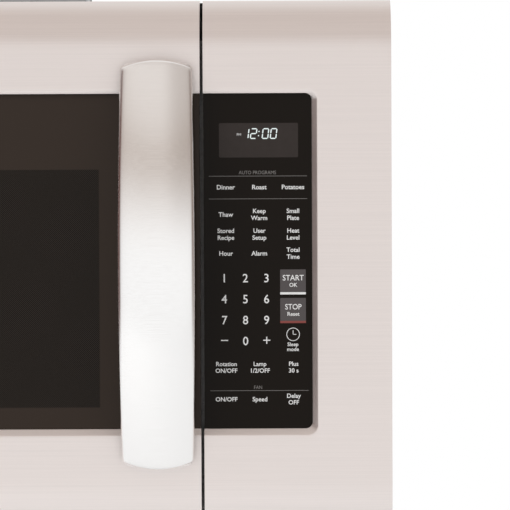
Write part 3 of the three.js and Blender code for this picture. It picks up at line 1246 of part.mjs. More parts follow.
// Its two terminals carry the diode between them.
function capacitor() {
  const x = CAPACITOR_WIDTH / 2;
  const y = CAPACITOR_LENGTH / 2;
  const can = alongZ(roundedRect(-x, x, -y, y, x - 1, 6), 0, CAPACITOR_HEIGHT);
  const terminals = [-x, x].map((at) => box(-3, 3, at - 0.4, at + 0.4, CAPACITOR_HEIGHT - 1,
    CAPACITOR_HEIGHT + TERMINAL_HEIGHT));
  const diodeZ = CAPACITOR_HEIGHT + TERMINAL_HEIGHT / 2;
  const diode = alongY(circle(0, diodeZ, DIODE_RADIUS, 12), -DIODE_LENGTH / 2, DIODE_LENGTH / 2);
  const leads = box(-0.6, 0.6, -x, x, diodeZ - 0.5, diodeZ + 0.5);
  return join(can, ...terminals, diode, leads);
}

function humiditySensor() {
  const flange = alongZ(circle(0, 0, SENSOR_RADIUS + 4, 20), 0, 1.5);
  const can = alongZ(circle(0, 0, SENSOR_RADIUS, 16), 0, 12);
  const plug = box(-5, 5, -3, 3, 11, 20);
  return join(flange, can, plug);
}

// ---- Control panel -----------------------------------------------------------------------------------------------------

const bezelInnerX0 = bezelLeft + SKIN + CLEARANCE;
const bezelInnerX1 = halfWidth - SKIN - CLEARANCE;
const controlGlassX0 = bezelLeft + CLEARANCE;
const membraneY = controlGlassBackY + CLEARANCE;
const chassisFrontY = membraneY + MEMBRANE + CLEARANCE;
const boardY = chassisFrontY + BOARD_STANDOFF;

function controlBezel() {
  return cut(frontShell(bezelLeft, halfWidth, cabinetY - CLEARANCE),
    glassNotch(bezelLeft - SKIN, bezelLeft + 2 * SKIN, controlGlassBackY));
}

function keyMembrane() {
  const sheet = box(bezelInnerX0, glassSide - 2, membraneY, membraneY + MEMBRANE, glassBottom + 6,
    glassTop - 6);
  const displayWindow = box(displayX - DISPLAY_WIDTH / 2, displayX + DISPLAY_WIDTH / 2,
    membraneY - 1, membraneY + 1, DISPLAY_Z - DISPLAY_HEIGHT / 2, DISPLAY_Z + DISPLAY_HEIGHT / 2);
  return cut(sheet, displayWindow);
}

function displayModule() {
  const w = DISPLAY_WIDTH / 2 - 1;
  const h = DISPLAY_HEIGHT / 2 - 1;
  return join(
    box(displayX - w, displayX + w, chassisFrontY, boardY - CLEARANCE, DISPLAY_Z - h, DISPLAY_Z + h),
    box(displayX - w + 4, displayX + w - 4, membraneY + CLEARANCE, chassisFrontY + 1,
      DISPLAY_Z - h + 4, DISPLAY_Z + h - 4),
  );
}

// A tray behind the glass, with an opening for the display and four posts for the board.
function panelChassis() {
  const backY = cabinetY - CLEARANCE;
  const tray = cut(
    box(bezelInnerX0, bezelInnerX1, chassisFrontY, backY, -CHASSIS_HALF, CHASSIS_HALF),
    box(bezelInnerX0 + CHASSIS_WALL, bezelInnerX1 - CHASSIS_WALL, chassisFrontY + CHASSIS_WALL,
      backY + 1, -CHASSIS_HALF + CHASSIS_WALL, CHASSIS_HALF - CHASSIS_WALL),
  );
  const opening = box(displayX - DISPLAY_WIDTH / 2 - 2, displayX + DISPLAY_WIDTH / 2 + 2,
    chassisFrontY - 1, chassisFrontY + CHASSIS_WALL + 1, -90, DISPLAY_Z + DISPLAY_HEIGHT / 2 + 2);
  const posts = [bezelInnerX0 + 9, bezelInnerX1 - 9].flatMap((x) => [-1, 1].map((side) =>
    alongY(circle(x, side * (BOARD_HALF_HEIGHT - 6), 4, 12), chassisFrontY + 1, boardY - CLEARANCE)));
  return join(cut(tray, opening), ...posts);
}

function controlBoard() {
  const x0 = bezelInnerX0 + CHASSIS_WALL + 1;
  const x1 = bezelInnerX1 - CHASSIS_WALL - 1;
  const board = box(x0, x1, boardY, boardY + BOARD, -BOARD_HALF_HEIGHT, BOARD_HALF_HEIGHT);
  const chips = [[20, 44, -60, -36], [30, 52, 10, 24], [70, 96, -70, -48], [64, 84, 20, 60]].map(
    ([u0, u1, z0, z1]) => box(x0 + u0, x0 + u1, boardY + BOARD / 2, boardY + BOARD + 6, z0, z1));
  return join(board, ...chips);
}

const relayBoardX = insideX - RELAY_BOARD_STANDOFF;

// Upright on four feet at the right side of the case.
function relayBoard() {
  const y0 = cabinetY + RELAY_BOARD_FROM_FRONT;
  const y1 = y0 + RELAY_BOARD_DEPTH;
  const board = box(relayBoardX - BOARD, relayBoardX, y0, y1, RELAY_BOARD_BOTTOM, RELAY_BOARD_TOP);
  const feet = [y0 + 8, y1 - 8].flatMap((y) => [RELAY_BOARD_BOTTOM + 8, RELAY_BOARD_TOP - 8].map((z) =>
    alongX(circle(y, z, 4, 12), relayBoardX - BOARD / 2, insideX)));
  const parts = [[12, 40, -20, 5, 22], [50, 76, -24, 0, 18], [84, 116, -20, 12, 26],
    [14, 60, 30, 70, 30], [76, 100, 36, 66, 16]].map(([u0, u1, z0, z1, tall]) =>
    box(relayBoardX - BOARD - tall, relayBoardX - BOARD / 2, y0 + u0, y0 + u1, z0, z1));
  return join(board, ...feet, ...parts);
}

// A channel behind the front frame: each hook drops into a pocket and presses a switch beside it.
function latchBoard() {
  const y0 = cabinetY + SHEET + CLEARANCE;
  const y1 = cabinetY + LATCH_BOARD_DEPTH;
  const x0 = latchX - LATCH_BOARD_WIDTH / 2;
  const x1 = latchX + LATCH_BOARD_WIDTH / 2;
  const half = HOOK_SPACING / 2 + LATCH_BOARD_OVER;
  const channel = box(x0, x1, y0, y1, -half, half);
  const pockets = hookZ.map((z) => box(latchX - LATCH_THICKNESS / 2 - LATCH_SIDE_ROOM,
    latchX + LATCH_THICKNESS / 2 + LATCH_SIDE_ROOM, y0 - 1, frameBackY + HOOK_REACH + 3,
    z - HOOK_HEIGHT / 2 - HOOK_TIP - 1, z + HOOK_HEIGHT / 2 + LATCH_TRAVEL + 1));
  const relief = box(x0 - 1, x1 - 3, y0 + 3, y1 + 1, -HOOK_SPACING / 4, HOOK_SPACING / 4);
  const switches = [-60, 40].map((z) => box(x0 + 3, x1 - 2, y0 + 8, y0 + 18, z, z + 20));
  return join(cut(channel, ...pockets, relief), ...switches);
}

// ---- Assembly --------------------------------------------------------------------------------------------------------------

const mirrorX = (body) => body.mirror([1, 0, 0]);
const ductZ = topZ;
const filterZ = baseTopZ;

const door = groupAt(0, 0, 0,
  piece('door_panel', doorPanel(), stainless),
  piece('door_glass', glassPane(-glassSide, doorRight - CLEARANCE, doorGlassBackY), blackGlass),
  piece('door_frame', doorFrame(), blackPaint),
  piece('choke_cover', chokeCover(), blackPlastic),
  piece('inner_window', innerWindow(), clearGlass),
  piece('window_screen', windowScreen(), blackPaint),
  piece('handle', handle(), stainless),
  piece('door_latch', doorLatch(), whitePlastic),
  groupAt(latchX, frameInsideY - LATCH_DEPTH / 2 - CLEARANCE, springBottomZ,
    piece('latch_spring', latchSpring(), springSteel)),
);

const controlPanel = groupAt(0, 0, 0,
  piece('control_bezel', controlBezel(), stainless),
  piece('control_glass', glassPane(controlGlassX0, glassSide, controlGlassBackY), blackGlass),
  piece('key_membrane', keyMembrane(), blackPlastic),
  piece('display_module', displayModule(), blackPlastic),
  piece('control_board', controlBoard(), circuit),
  piece('panel_chassis', panelChassis(), blackPlastic),
  piece('relay_board', relayBoard(), circuit),
  piece('latch_board', latchBoard(), whitePlastic),
);

const rollers = Array.from({ length: ROLLER_COUNT }, (_, i) => {
  const spoke = groupAt(0, 0, axleZ, piece(`roller_${i + 1}`, roller(), whitePlastic));
  spoke.children[0].position.set(ROLLER_TRACK, 0, 0);
  spoke.rotation.z = (2 * Math.PI * i) / ROLLER_COUNT;
  return spoke;
});

const turntable = groupAt(tableX, tableY, floorZ,
  piece('turntable_motor', turntableMotor(), galvanised),
  piece('turntable_shaft', turntableShaft(), whitePlastic),
  piece('turntable_coupler', turntableCoupler(), whitePlastic),
  piece('roller_ring', rollerRing(), whitePlastic),
  piece('glass_tray', glassTray(), clearGlass),
  ...rollers,
);

const blower = groupAt(0, -BLOWER_FROM_WALL, blowerZ,
  piece('blower_housing_right', scrollHousing(), galvanised),
  piece('blower_housing_left', mirrorX(scrollHousing()), galvanised),
  piece('blower_wheel_right', blowerWheel(), galvanised),
  piece('blower_wheel_left', mirrorX(blowerWheel()), galvanised),
  piece('blower_shaft', blowerShaft(), springSteel),
  piece('blower_motor', blowerMotor(), blackPaint),
);

const exhaust = groupAt(0, -DUCT_FROM_WALL, ductZ,
  piece('exhaust_adaptor', exhaustAdaptor(), galvanised),
  piece('damper_flap', damperFlap(), galvanised),
);

const highVoltage = new THREE.Group();
highVoltage.add(
  groupAt(transformerX, transformerY, baseTopZ, piece('hv_transformer', transformer(), copper)),
  groupAt(capacitorX, capacitorY, baseTopZ, piece('hv_capacitor', capacitor(), aluminium)),
  groupAt(cavityRight + SHEET + 2 * CLEARANCE + GUIDE_DEPTH, -GUIDE_FROM_WALL, magnetronZ,
    piece('magnetron', magnetron(), aluminium)),
  piece('waveguide', waveguide(), galvanised),
  piece('mica_cover', micaCover(), mica),
  piece('fan_housing', fanHousing(), blackPlastic),
  piece('fan_motor', fanMotor(), blackPaint),
  groupAt(fanX, fanBladeY, FAN_Z, piece('fan_blade', fanBlade(), blackPlastic)),
);

const underside = new THREE.Group();
for (const [name, side] of [['left', -1], ['right', 1]]) {
  underside.add(
    groupAt(side * filterX, -FILTER_FROM_WALL, filterZ,
      piece(`grease_filter_${name}`, greaseFilter(side), aluminium)),
    groupAt(side * LAMP_FROM_MIDDLE, -LAMP_FROM_WALL, baseTopZ,
      piece(`lamp_lens_${name}`, lampLens(), clearGlass),
      piece(`cooktop_lamp_${name}`, cooktopLamp(), whitePlastic)),
  );
}

const cabinet = groupAt(0, 0, 0,
  piece('case_wrap', caseWrap(), blackPaint),
  piece('back_panel', backPanel(), galvanised),
  piece('base_plate', basePlate(), blackPaint),
  piece('wall_plate', wallPlate(), galvanised),
  piece('oven_cavity', ovenCavity(), enamel),
  piece('front_frame', frontFrame(), enamel),
  piece('cavity_lamp', cavityLamp(), galvanised),
  groupAt(sensorX, sensorY, cavityTopZ, piece('humidity_sensor', humiditySensor(), whitePlastic)),
  piece('vent_grille', ventGrille(), blackPlastic),
  piece('charcoal_filter', charcoalFilter(), carbon),
  groupAt(bushX, bushY, 0, piece('cord_bushing', cordBushing(), blackPlastic)),
  piece('hinge_upper', hingeBracket(hingeTopZ, true), galvanised),
  piece('hinge_lower', hingeBracket(hingeBottomZ, false), galvanised),
);

const microwave = new THREE.Group();
microwave.add(cabinet, controlPanel, door, turntable, blower, exhaust, highVoltage, underside);

export default microwave;
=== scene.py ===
"""An over the range microwave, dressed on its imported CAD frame.

Metres, +X to the right, +Z up, front towards -Y, origin on the wall behind the middle of the case.
Sizes of pieces are millimetres and become metres where a mesh is made. The camera, the lamp and the
patterns of the materials are in metres.
"""

import math

import bmesh
import bpy
import numpy as np
from mathutils import Matrix, Vector


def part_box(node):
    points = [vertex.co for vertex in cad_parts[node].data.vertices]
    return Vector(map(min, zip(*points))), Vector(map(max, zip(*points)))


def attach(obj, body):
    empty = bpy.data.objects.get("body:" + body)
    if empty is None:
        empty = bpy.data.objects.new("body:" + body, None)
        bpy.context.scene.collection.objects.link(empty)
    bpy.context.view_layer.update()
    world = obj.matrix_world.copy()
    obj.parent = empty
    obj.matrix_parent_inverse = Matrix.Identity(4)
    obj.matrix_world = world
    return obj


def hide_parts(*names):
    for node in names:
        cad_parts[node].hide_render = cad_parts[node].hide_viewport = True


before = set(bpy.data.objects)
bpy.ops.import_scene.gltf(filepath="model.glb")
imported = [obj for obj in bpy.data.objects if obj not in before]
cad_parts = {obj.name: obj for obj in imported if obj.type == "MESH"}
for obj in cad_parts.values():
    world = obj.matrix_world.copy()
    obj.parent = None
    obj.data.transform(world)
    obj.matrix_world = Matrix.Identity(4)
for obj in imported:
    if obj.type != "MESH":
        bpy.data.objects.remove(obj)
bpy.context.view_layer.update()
scene = bpy.context.scene
scene.view_settings.view_transform = "Standard"


# ---- Camera ----
# A long lens at the height of the display, 2 degrees above level, squared up to the control end.

camera_target = Vector((0.2714, -0.397, 0.0073))
camera_distance = 3.0
camera_rise = math.radians(2.0)
camera_roll = math.radians(-0.25)
focal_length = 268.1

towards_camera = Vector((0, -math.cos(camera_rise), math.sin(camera_rise)))
lens = bpy.data.cameras.new("camera")
lens.lens = focal_length
camera = bpy.data.objects.new("camera", lens)
camera.location = camera_target + camera_distance * towards_camera
camera.rotation_euler = (Matrix.Rotation(camera_roll, 3, towards_camera)
                         @ Matrix.Rotation(math.pi / 2 - camera_rise, 3, "X")).to_euler()
scene.collection.objects.link(camera)
scene.camera = camera


# ---- Studio ----
# A white room: pale walls and floor, one soft lamp at the upper left. Its walls reflect in the
# metal, with a warm dark strip over the camera and darker curtains at both sides.

class Wire:
    """A shader output that takes part in sums. Each operator adds one Math node."""

    def __init__(self, paint, socket):
        self.paint, self.socket = paint, socket

    def math(self, operation, first, second=0.0):
        return self.paint.node("Math", {"operation": operation}, {0: first, 1: second})

    def __add__(self, other):
        return self.math("ADD", self, other)

    def __sub__(self, other):
        return self.math("SUBTRACT", self, other)

    def __rsub__(self, other):
        return self.math("SUBTRACT", other, self)

    def __mul__(self, other):
        return self.math("MULTIPLY", self, other)

    def __pow__(self, other):
        return self.math("POWER", self, other)

    def __abs__(self):
        return self.math("ABSOLUTE", self)

    __radd__, __rmul__ = __add__, __mul__

    def high(self, other):
        return self.math("MAXIMUM", self, other)

    def wave(self, pitch):
        """1 on lines a pitch apart, falling to 0 half way between them."""
        return 0.5 + 0.5 * self.math("COSINE", self * (2 * math.pi / pitch))

    def between(self, start, end):
        """A smooth step from 0 at start to 1 at end."""
        return self.paint.node("MapRange", {"interpolation_type": "SMOOTHSTEP"},
                               {"Value": self, "From Min": start, "From Max": end})


class Paint:
    """The node tree of a new material or world."""

    def __init__(self, owner):
        owner.use_nodes = True
        self.owner, self.tree = owner, owner.node_tree
        self.tree.nodes.clear()

    def node(self, kind, settings=None, inputs=None, output=0):
        """Makes a node. Settings are its properties, inputs are numbers, colours or wires."""
        node = self.tree.nodes.new("ShaderNode" + kind)
        for name, value in (settings or {}).items():
            if name == "stops":
                ramp = node.color_ramp
                ramp.elements.remove(ramp.elements[-1])
                for place, (position, colour) in enumerate(value):
                    stop = ramp.elements.new(position) if place else ramp.elements[0]
                    stop.position, stop.color = position, (*colour, 1)
            else:
                setattr(node, name, value)
        for name, value in (inputs or {}).items():
            if isinstance(value, Wire):
                self.tree.links.new(value.socket, node.inputs[name])
            elif isinstance(value, tuple) and len(value) == 3 and node.inputs[name].type == "RGBA":
                node.inputs[name].default_value = (*value, 1)
            else:
                node.inputs[name].default_value = value
        return Wire(self, node.outputs[output]) if node.outputs else None

    def mix(self, factor, first, second):
        return self.node("Mix", {"data_type": "RGBA"}, {0: factor, 6: first, 7: second}, 2)

    def axes(self):
        """The three object coordinates, in metres."""
        place = self.node("TexCoord", output="Object")
        return [self.node("SeparateXYZ", None, {0: place}, axis) for axis in "XYZ"]

    def rays(self):
        """Three masks: seen by the camera itself, mirrored in a surface, seen through glass."""
        return [self.node("LightPath", output=f"Is {name} Ray")
                for name in ("Camera", "Glossy", "Transmission")]

    def noise(self, stretch, detail=2.0):
        """Noise with so many to the metre, all ways or along X, Y and Z."""
        return self.node("TexNoise", None, {**self.spread(stretch), "Detail": detail})

    def cells(self, number, feature="F1", output="Distance"):
        """Voronoi cells with so many to the metre: the distance, or a random level for each."""
        return self.node("TexVoronoi", {"feature": feature}, self.spread(number), output)

    def spread(self, stretch):
        """Object coordinates, multiplied for a texture."""
        stretch = stretch if isinstance(stretch, tuple) else (stretch,) * 3
        place = self.node("TexCoord", output="Object")
        place = self.node("VectorMath", {"operation": "MULTIPLY"}, {0: place, 1: stretch})
        return {"Vector": place, "Scale": 1.0}

    def bump(self, height, depth, strength=1.0):
        """A normal from a height of 0 to 1 that stands for a depth in metres."""
        return self.node("Bump", None, {"Height": height, "Distance": depth, "Strength": strength})

    def surface(self, colour, roughness, **inputs):
        """A Principled surface. Further inputs are named with underscores for the spaces."""
        named = {key.replace("_", " "): value for key, value in inputs.items()}
        shader = self.node("BsdfPrincipled", None,
                           {"Base Color": colour, "Roughness": roughness, **named})
        self.node("OutputMaterial", None, {"Surface": shader})
        return self


def material(name):
    return Paint(bpy.data.materials.new(name))


# Sine of the height over the horizon, and the colour of the room there.
room_by_height = [
    (-1.0, (0.86, 0.855, 0.85)), (-0.5, (0.90, 0.895, 0.89)), (-0.10, (0.98, 0.975, 0.97)),
    (0.02, (1.0, 1.0, 0.995)), (0.12, (0.96, 0.935, 0.92)), (0.22, (0.81, 0.765, 0.735)),
    (0.32, (0.61, 0.54, 0.495)), (0.39, (0.51, 0.43, 0.38)), (0.48, (0.73, 0.67, 0.63)),
    (0.64, (0.80, 0.745, 0.71)), (0.85, (0.69, 0.63, 0.595)), (1.0, (0.73, 0.67, 0.63)),
]
room_dimming = 1.02  # divides those colours
upper_right_shade, shade_strength = (0.15, 0.09, 0.06), 0.30
back_wall = (0.88, 0.865, 0.85)
left_curtain, right_curtain = (0.095, 0.03, 0.022), (0.24, 0.185, 0.16)
room_light = 0.72
lamp_position, lamp_aim = Vector((-1.1, -2.3, 1.7)), Vector((0.1, -0.3, 0.0))
lamp_size, lamp_watts = 1.6, 26.0
floor_drop, floor_reach = -650.0, 2200.0
floor_glow = (0.40, 0.17)  # what the camera sees, and what metal and glass see

room = Paint(bpy.data.worlds.new("studio"))
heading = room.node("TexCoord", output="Generated")
east, north, up = [room.node("SeparateXYZ", None, {0: heading}, axis) for axis in "XYZ"]
stops = [(0.5 + 0.5 * sine, tuple(c / room_dimming for c in colour))
         for sine, colour in room_by_height]
strip = room.node("ValToRGB", {"stops": stops}, {0: up * 0.5 + 0.5})
shaded = shade_strength * east.between(0.12, 0.62) * up.between(0.02, 0.3)
walls = room.mix(shaded, strip, upper_right_shade)
walls = room.mix(east.between(0.70, 0.93) * up.between(-0.55, 0.0), walls, right_curtain)
walls = room.mix((0 - east).between(0.72, 0.93) * up.between(-0.6, -0.3), walls, left_curtain)
walls = room.mix(north.between(-0.15, 0.5), walls, back_wall)
direct, mirrored, through = room.rays()
white = room.mix(mirrored, (1.0, 1.0, 1.0), walls)
seen = direct.high(mirrored).high(through)
backdrop = room.node("Background", None, {
    "Color": room.mix(seen, (room_light,) * 3, white), "Strength": 1.0})
room.node("OutputWorld", None, {"Surface": backdrop})
scene.world = room.owner

soft_lamp = bpy.data.lights.new("soft_lamp", "AREA")
soft_lamp.size, soft_lamp.energy = lamp_size, lamp_watts
lamp = bpy.data.objects.new("soft_lamp", soft_lamp)
lamp.location = lamp_position
lamp.rotation_euler = (lamp_position - lamp_aim).to_track_quat("Z", "Y").to_euler()
lamp.visible_glossy = False
scene.collection.objects.link(lamp)


def weld(name, *grids, facing=None, crease=35):
    """A mesh object from grids of points, rows by columns by xyz, in millimetres.

    Neighbouring points make quads, and points that meet are joined. A grid may come with a table of
    the cells to keep. The faces turn outwards, or where the sheet is open towards facing.
    """
    points, quads, start = [], [], 0
    for grid in grids:
        grid, keep = grid if isinstance(grid, tuple) else (grid, None)
        grid = np.asarray(grid, float)
        rows, columns = grid.shape[:2]
        index = start + np.arange(rows * columns).reshape(rows, columns)
        cells = np.stack([index[:-1, :-1], index[:-1, 1:], index[1:, 1:], index[1:, :-1]], -1)
        quads.append(cells.reshape(-1, 4) if keep is None else cells[keep])
        points.append(grid.reshape(-1, 3))
        start += rows * columns
    mesh = bpy.data.meshes.new(name)
    mesh.from_pydata((np.concatenate(points) / 1000).tolist(), [], np.concatenate(quads).tolist())
    shape = bmesh.new()
    shape.from_mesh(mesh)
    bmesh.ops.remove_doubles(shape, verts=shape.verts, dist=2e-6)
    bmesh.ops.dissolve_degenerate(shape, edges=shape.edges, dist=1e-7)
    bmesh.ops.recalc_face_normals(shape, faces=shape.faces)
    if facing is not None:
        total = sum((face.normal * face.calc_area() for face in shape.faces), Vector())
        if total.dot(Vector(facing)) < 0:
            bmesh.ops.reverse_faces(shape, faces=shape.faces)
    shape.to_mesh(mesh)
    shape.free()
    mesh.shade_smooth()
    mesh.set_sharp_from_angle(angle=math.radians(crease))
    piece = bpy.data.objects.new(name, mesh)
    scene.collection.objects.link(piece)
    return piece


ground = material("studio_floor")
direct, mirrored, through = ground.rays()
dust = ground.noise(3, 3.0)
ground.surface(ground.mix(dust, (0.84, 0.835, 0.83), (0.88, 0.875, 0.87)), 0.9,
               Specular_IOR_Level=0.0, Emission_Color=(1.0, 0.995, 0.99),
               Emission_Strength=floor_glow[0] * direct + floor_glow[1] * mirrored.high(through),
               Alpha=1 - ground.node("NewGeometry", output="Backfacing"))
floor = weld("studio_floor", [[(x, y, floor_drop) for x in (-floor_reach, floor_reach)]
                              for y in (-floor_reach, floor_reach)], facing=(0, 0, 1))
floor.data.materials.append(ground.owner)


# ---- Door skin and control bezel ----
# One stainless sheet each, 1.1 mm, bent back at the top and bottom. Door and bezel share a shallow
# recess with a bevelled rim, which holds the glass. The steel has a fine grain along its length.

front_y = -397.0
half_width, half_height = 379.5, 208.75
roll_top, roll_bottom = (30.0, 36.75), (16.0, 34.0)  # depth and height of the bends
recess_end, recess_top, recess_bottom = 320.9, 137.25, -135.15
recess_radius, glass_radius = 8.0, 5.4
bevel_end, bevel_top, bevel_bottom, bevel_depth = 4.4, 2.3, 4.9, 4.0
top_sinks, top_drops = 1.2, 0.93  # the bevel's depth along the top, and where it drops
rim_inside, rim_outside = 0.15, 0.12  # where the rounded rim ends, in shares of the bevel
door_split, bezel_split = -228.3, 230.7
door_back, bezel_back = -359.0, -356.8
notch_top, notch_bottom, notch_back = 140.25, -135.6, -388.4
flange_inset = 1.6  # of the flange behind the glass, from the split
hinge_slots = [(163.3, 169.8), (-188.8, -182.3)]
sheet_gauge, edge_rounding = 1.1, 0.5
steel_colour, steel_roughness, steel_scratch = (0.853, 0.793, 0.772), 0.40, 0.00003


def brushed_steel(name, colour, rough, depth):
    """Stainless steel with a grain along X: streaks 1.1 mm apart, and hairs 0.3 mm apart."""
    paint = material(name)
    streaks = paint.noise((5, 900, 900), 3.0)
    hair = paint.noise((14, 3400, 3400))
    grain = 0.5 * streaks + 0.5 * hair
    patches = paint.noise(7, 1.0)
    tone = grain.between(0.25, 0.75)
    darkest, lightest = [tuple(min(1.0, level * c) for c in colour) for level in (0.965, 1.03)]
    return paint.surface(paint.mix(tone, darkest, lightest),
                         rough - 0.02 + 0.05 * tone + 0.03 * patches, Metallic=1.0,
                         Normal=paint.bump(grain, depth, 0.35))


def front_skin(name, side, split, back, slots=()):
    """The sheet of the door, side -1, or of the bezel, side 1, open at the back.

    With u = side x, the recess outline at bevel b is a rounded rectangle: its end at
    u = 320.9 - 4.4 b, its top at z = 137.25 - 2.3 b, its bottom at z = -135.15 + 4.9 b and
    its radius 8 - 2.6 b. It is 4 b deep, but along the top only 1.2 b up to b = 0.93, and then it
    drops straight. The face is at y = -397 + d (1 - sqrt(1 - t^2)), where t runs from 0 to 1
    over the height of the bend and d is its depth. Slots are heights left open in the side.
    """
    def face_y(z):
        (d1, h1), (d2, h2) = roll_top, roll_bottom
        t1 = np.clip((z - half_height + h1) / h1, 0, 1)
        t2 = np.clip((-half_height + h2 - z) / h2, 0, 1)
        return front_y + d1 * (1 - np.sqrt(1 - t1 ** 2)) + d2 * (1 - np.sqrt(1 - t2 ** 2))

    straight, corner = 12, 7  # points along each straight, and round each corner
    bend = np.radians(np.linspace(90, 0, 9))
    centre_u = recess_end - recess_radius
    centre_top, centre_bottom = recess_top - recess_radius, recess_bottom + recess_radius
    cuts = np.array(slots).reshape(-1)
    end_top = np.unique([*(half_height - roll_top[1] * (1 - np.sin(bend))), 152.0, centre_top,
                         *cuts[cuts > 0]])[::-1]
    end_bottom = np.unique([*(-half_height + roll_bottom[1] * (1 - np.sin(bend))), -150.0,
                            centre_bottom, *cuts[cuts < 0]])[::-1]
    quarter = np.linspace(90, 45, corner)[1:]
    angles_top = np.radians([*quarter, *np.linspace(45, 0, len(end_top))[1:]])
    angles_bottom = -np.radians([*np.linspace(0, 45, len(end_bottom))[1:], *quarter[::-1][1:], 90])
    spread = np.linspace(0, 1, straight)

    def outline(b):
        end, r = recess_end - bevel_end * b, recess_radius + (glass_radius - recess_radius) * b
        top, bottom = recess_top - bevel_top * b, recess_bottom + bevel_bottom * b
        run = split + (end - r - split) * spread
        rise = (top - r) + (bottom - top + 2 * r) * spread
        u = [*run, *(end - r + r * np.cos(angles_top)), *np.full(straight - 2, end),
             end, *(end - r + r * np.cos(angles_bottom)), *run[::-1][1:]]
        z = [*np.full(straight, top), *(top - r + r * np.sin(angles_top)), *rise[1:-1],
             bottom + r, *(bottom + r + r * np.sin(angles_bottom)), *np.full(straight - 1, bottom)]
        return np.array([u, z])

    along_top = np.zeros(len(outline(0)[0]))
    along_top[:straight + len(angles_top)] = [*np.ones(straight), *np.sin(angles_top) ** 2]

    def sunk(b):
        shallow = top_sinks * b if b <= top_drops else bevel_depth
        return bevel_depth * b * (1 - along_top) + shallow * along_top

    beyond = np.linspace(centre_u, half_width, corner)
    run = split + (centre_u - split) * spread
    rise = centre_top + (centre_bottom - centre_top) * spread
    ends = len(end_top) + straight + len(end_bottom) - 3
    border = np.array([
        [*run, *beyond[1:], *np.full(ends, half_width), *beyond[::-1][1:], *run[::-1][1:]],
        [*np.full(straight + corner - 1, half_height), *end_top[1:], *rise[1:],
         *end_bottom[1:], *np.full(straight + corner - 2, -half_height)],
    ])

    rows = []
    for b in (1.0, top_drops, 0.6, rim_inside):
        u, z = outline(b)
        rows.append((u, front_y + sunk(b), z))
    for t in (0.25, 0.5, 0.75, 1.0):
        u, z = outline(rim_inside * (1 - t) ** 2 - rim_outside * t ** 2)
        rows.append((u, front_y + sunk(rim_inside) * (1 - t) ** 2, z))
    rim_rows = len(rows)
    inner = outline(-rim_outside)
    to_notch = (notch_top - inner[1][0]) / (half_height - inner[1][0])
    for v in [to_notch, *(1 - (1 - np.linspace(0, 1, 25)[1:]) ** 2)]:
        u, z = inner + (border - inner) * v
        rows.append((u, face_y(z), z))
    wall = (0.095, 0.5, 1.0)  # shares of the way to the back. Slots start at the first.
    for share in wall:
        u, z = border
        rows.append((u, face_y(z) * (1 - share) + back * share, z))
    sheet = np.stack([np.stack([side * u, y, z], -1) for u, y, z in rows])

    keep = np.ones((sheet.shape[0] - 1, sheet.shape[1] - 1), bool)
    middle = (border[1][1:] + border[1][:-1]) / 2
    for low, high in slots:
        keep[-2:, (middle > low) & (middle < high)] = False

    flange = []
    for column, rim in ((0, rim_rows + 1), (-1, rim_rows)):
        fold = np.repeat(sheet[rim - 1:-len(wall), column][:, None], 1 + len(wall), 1)
        fold[..., 1] += (back - fold[..., 1]) * (0, *wall)
        lip = np.repeat(sheet[:rim, column][:, None], 2, 1)
        lip[:, 1, 1] = front_y + bevel_depth
        flange += [fold, lip]
    x = side * (split + flange_inset)
    flange.append([[(x, y, z) for y in (notch_back, back)] for z in (notch_top, notch_bottom)])
    piece = weld(name, (sheet, keep), *flange, facing=(0, -1, 0))
    edge = piece.modifiers.new("rounded_edges", "BEVEL")
    edge.width, edge.segments = edge_rounding / 1000, 2
    edge.limit_method, edge.angle_limit = "ANGLE", math.radians(40)
    gauge = piece.modifiers.new("sheet", "SOLIDIFY")
    gauge.thickness, gauge.offset = sheet_gauge / 1000, -1
    return piece


stainless = brushed_steel("brushed_stainless", steel_colour, steel_roughness, steel_scratch)
door_skin = front_skin("door_skin", -1, door_split, door_back, hinge_slots)
bezel_skin = front_skin("bezel_skin", 1, bezel_split, bezel_back)
for skin, body, node in ((door_skin, "door", "door_panel"),
                         (bezel_skin, "cabinet", "control_bezel")):
    skin.data.materials.append(stainless.owner)
    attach(skin, body)
    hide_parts(node)


# ---- Handle ----
# A broad bar of satin stainless, bowed away from the door, with a crowned face and rolled edges.
# Its ends follow an arc. Two posts behind it are screwed to the door from inside.

handle_x, handle_z, handle_length = 194.3, 0.15, 323.1
handle_half, handle_waist, handle_crown, handle_back = 30.3, 2.1, 7.0, 10.0
handle_middle, handle_tip, handle_end_arc = 52.0, 20.0, 5.0
handle_knee = (3.2, 2.2)  # width and depth of the curve along the sides
handle_heel = 0.6  # radius of the back edge
handle_edge = (3.0, 4.8)  # height and depth of the curve at the ends
post_half_width, post_half_height, post_from_middle = 20.0, 8.5, 139.9
# The bar's satin stainless is given a near white colour, brighter than the door's steel: painted
# brightness for the pale floor it mirrors.
satin_colour_painted_bright, satin_roughness, satin_scratch = (0.98, 0.975, 0.97), 0.20, 0.000008


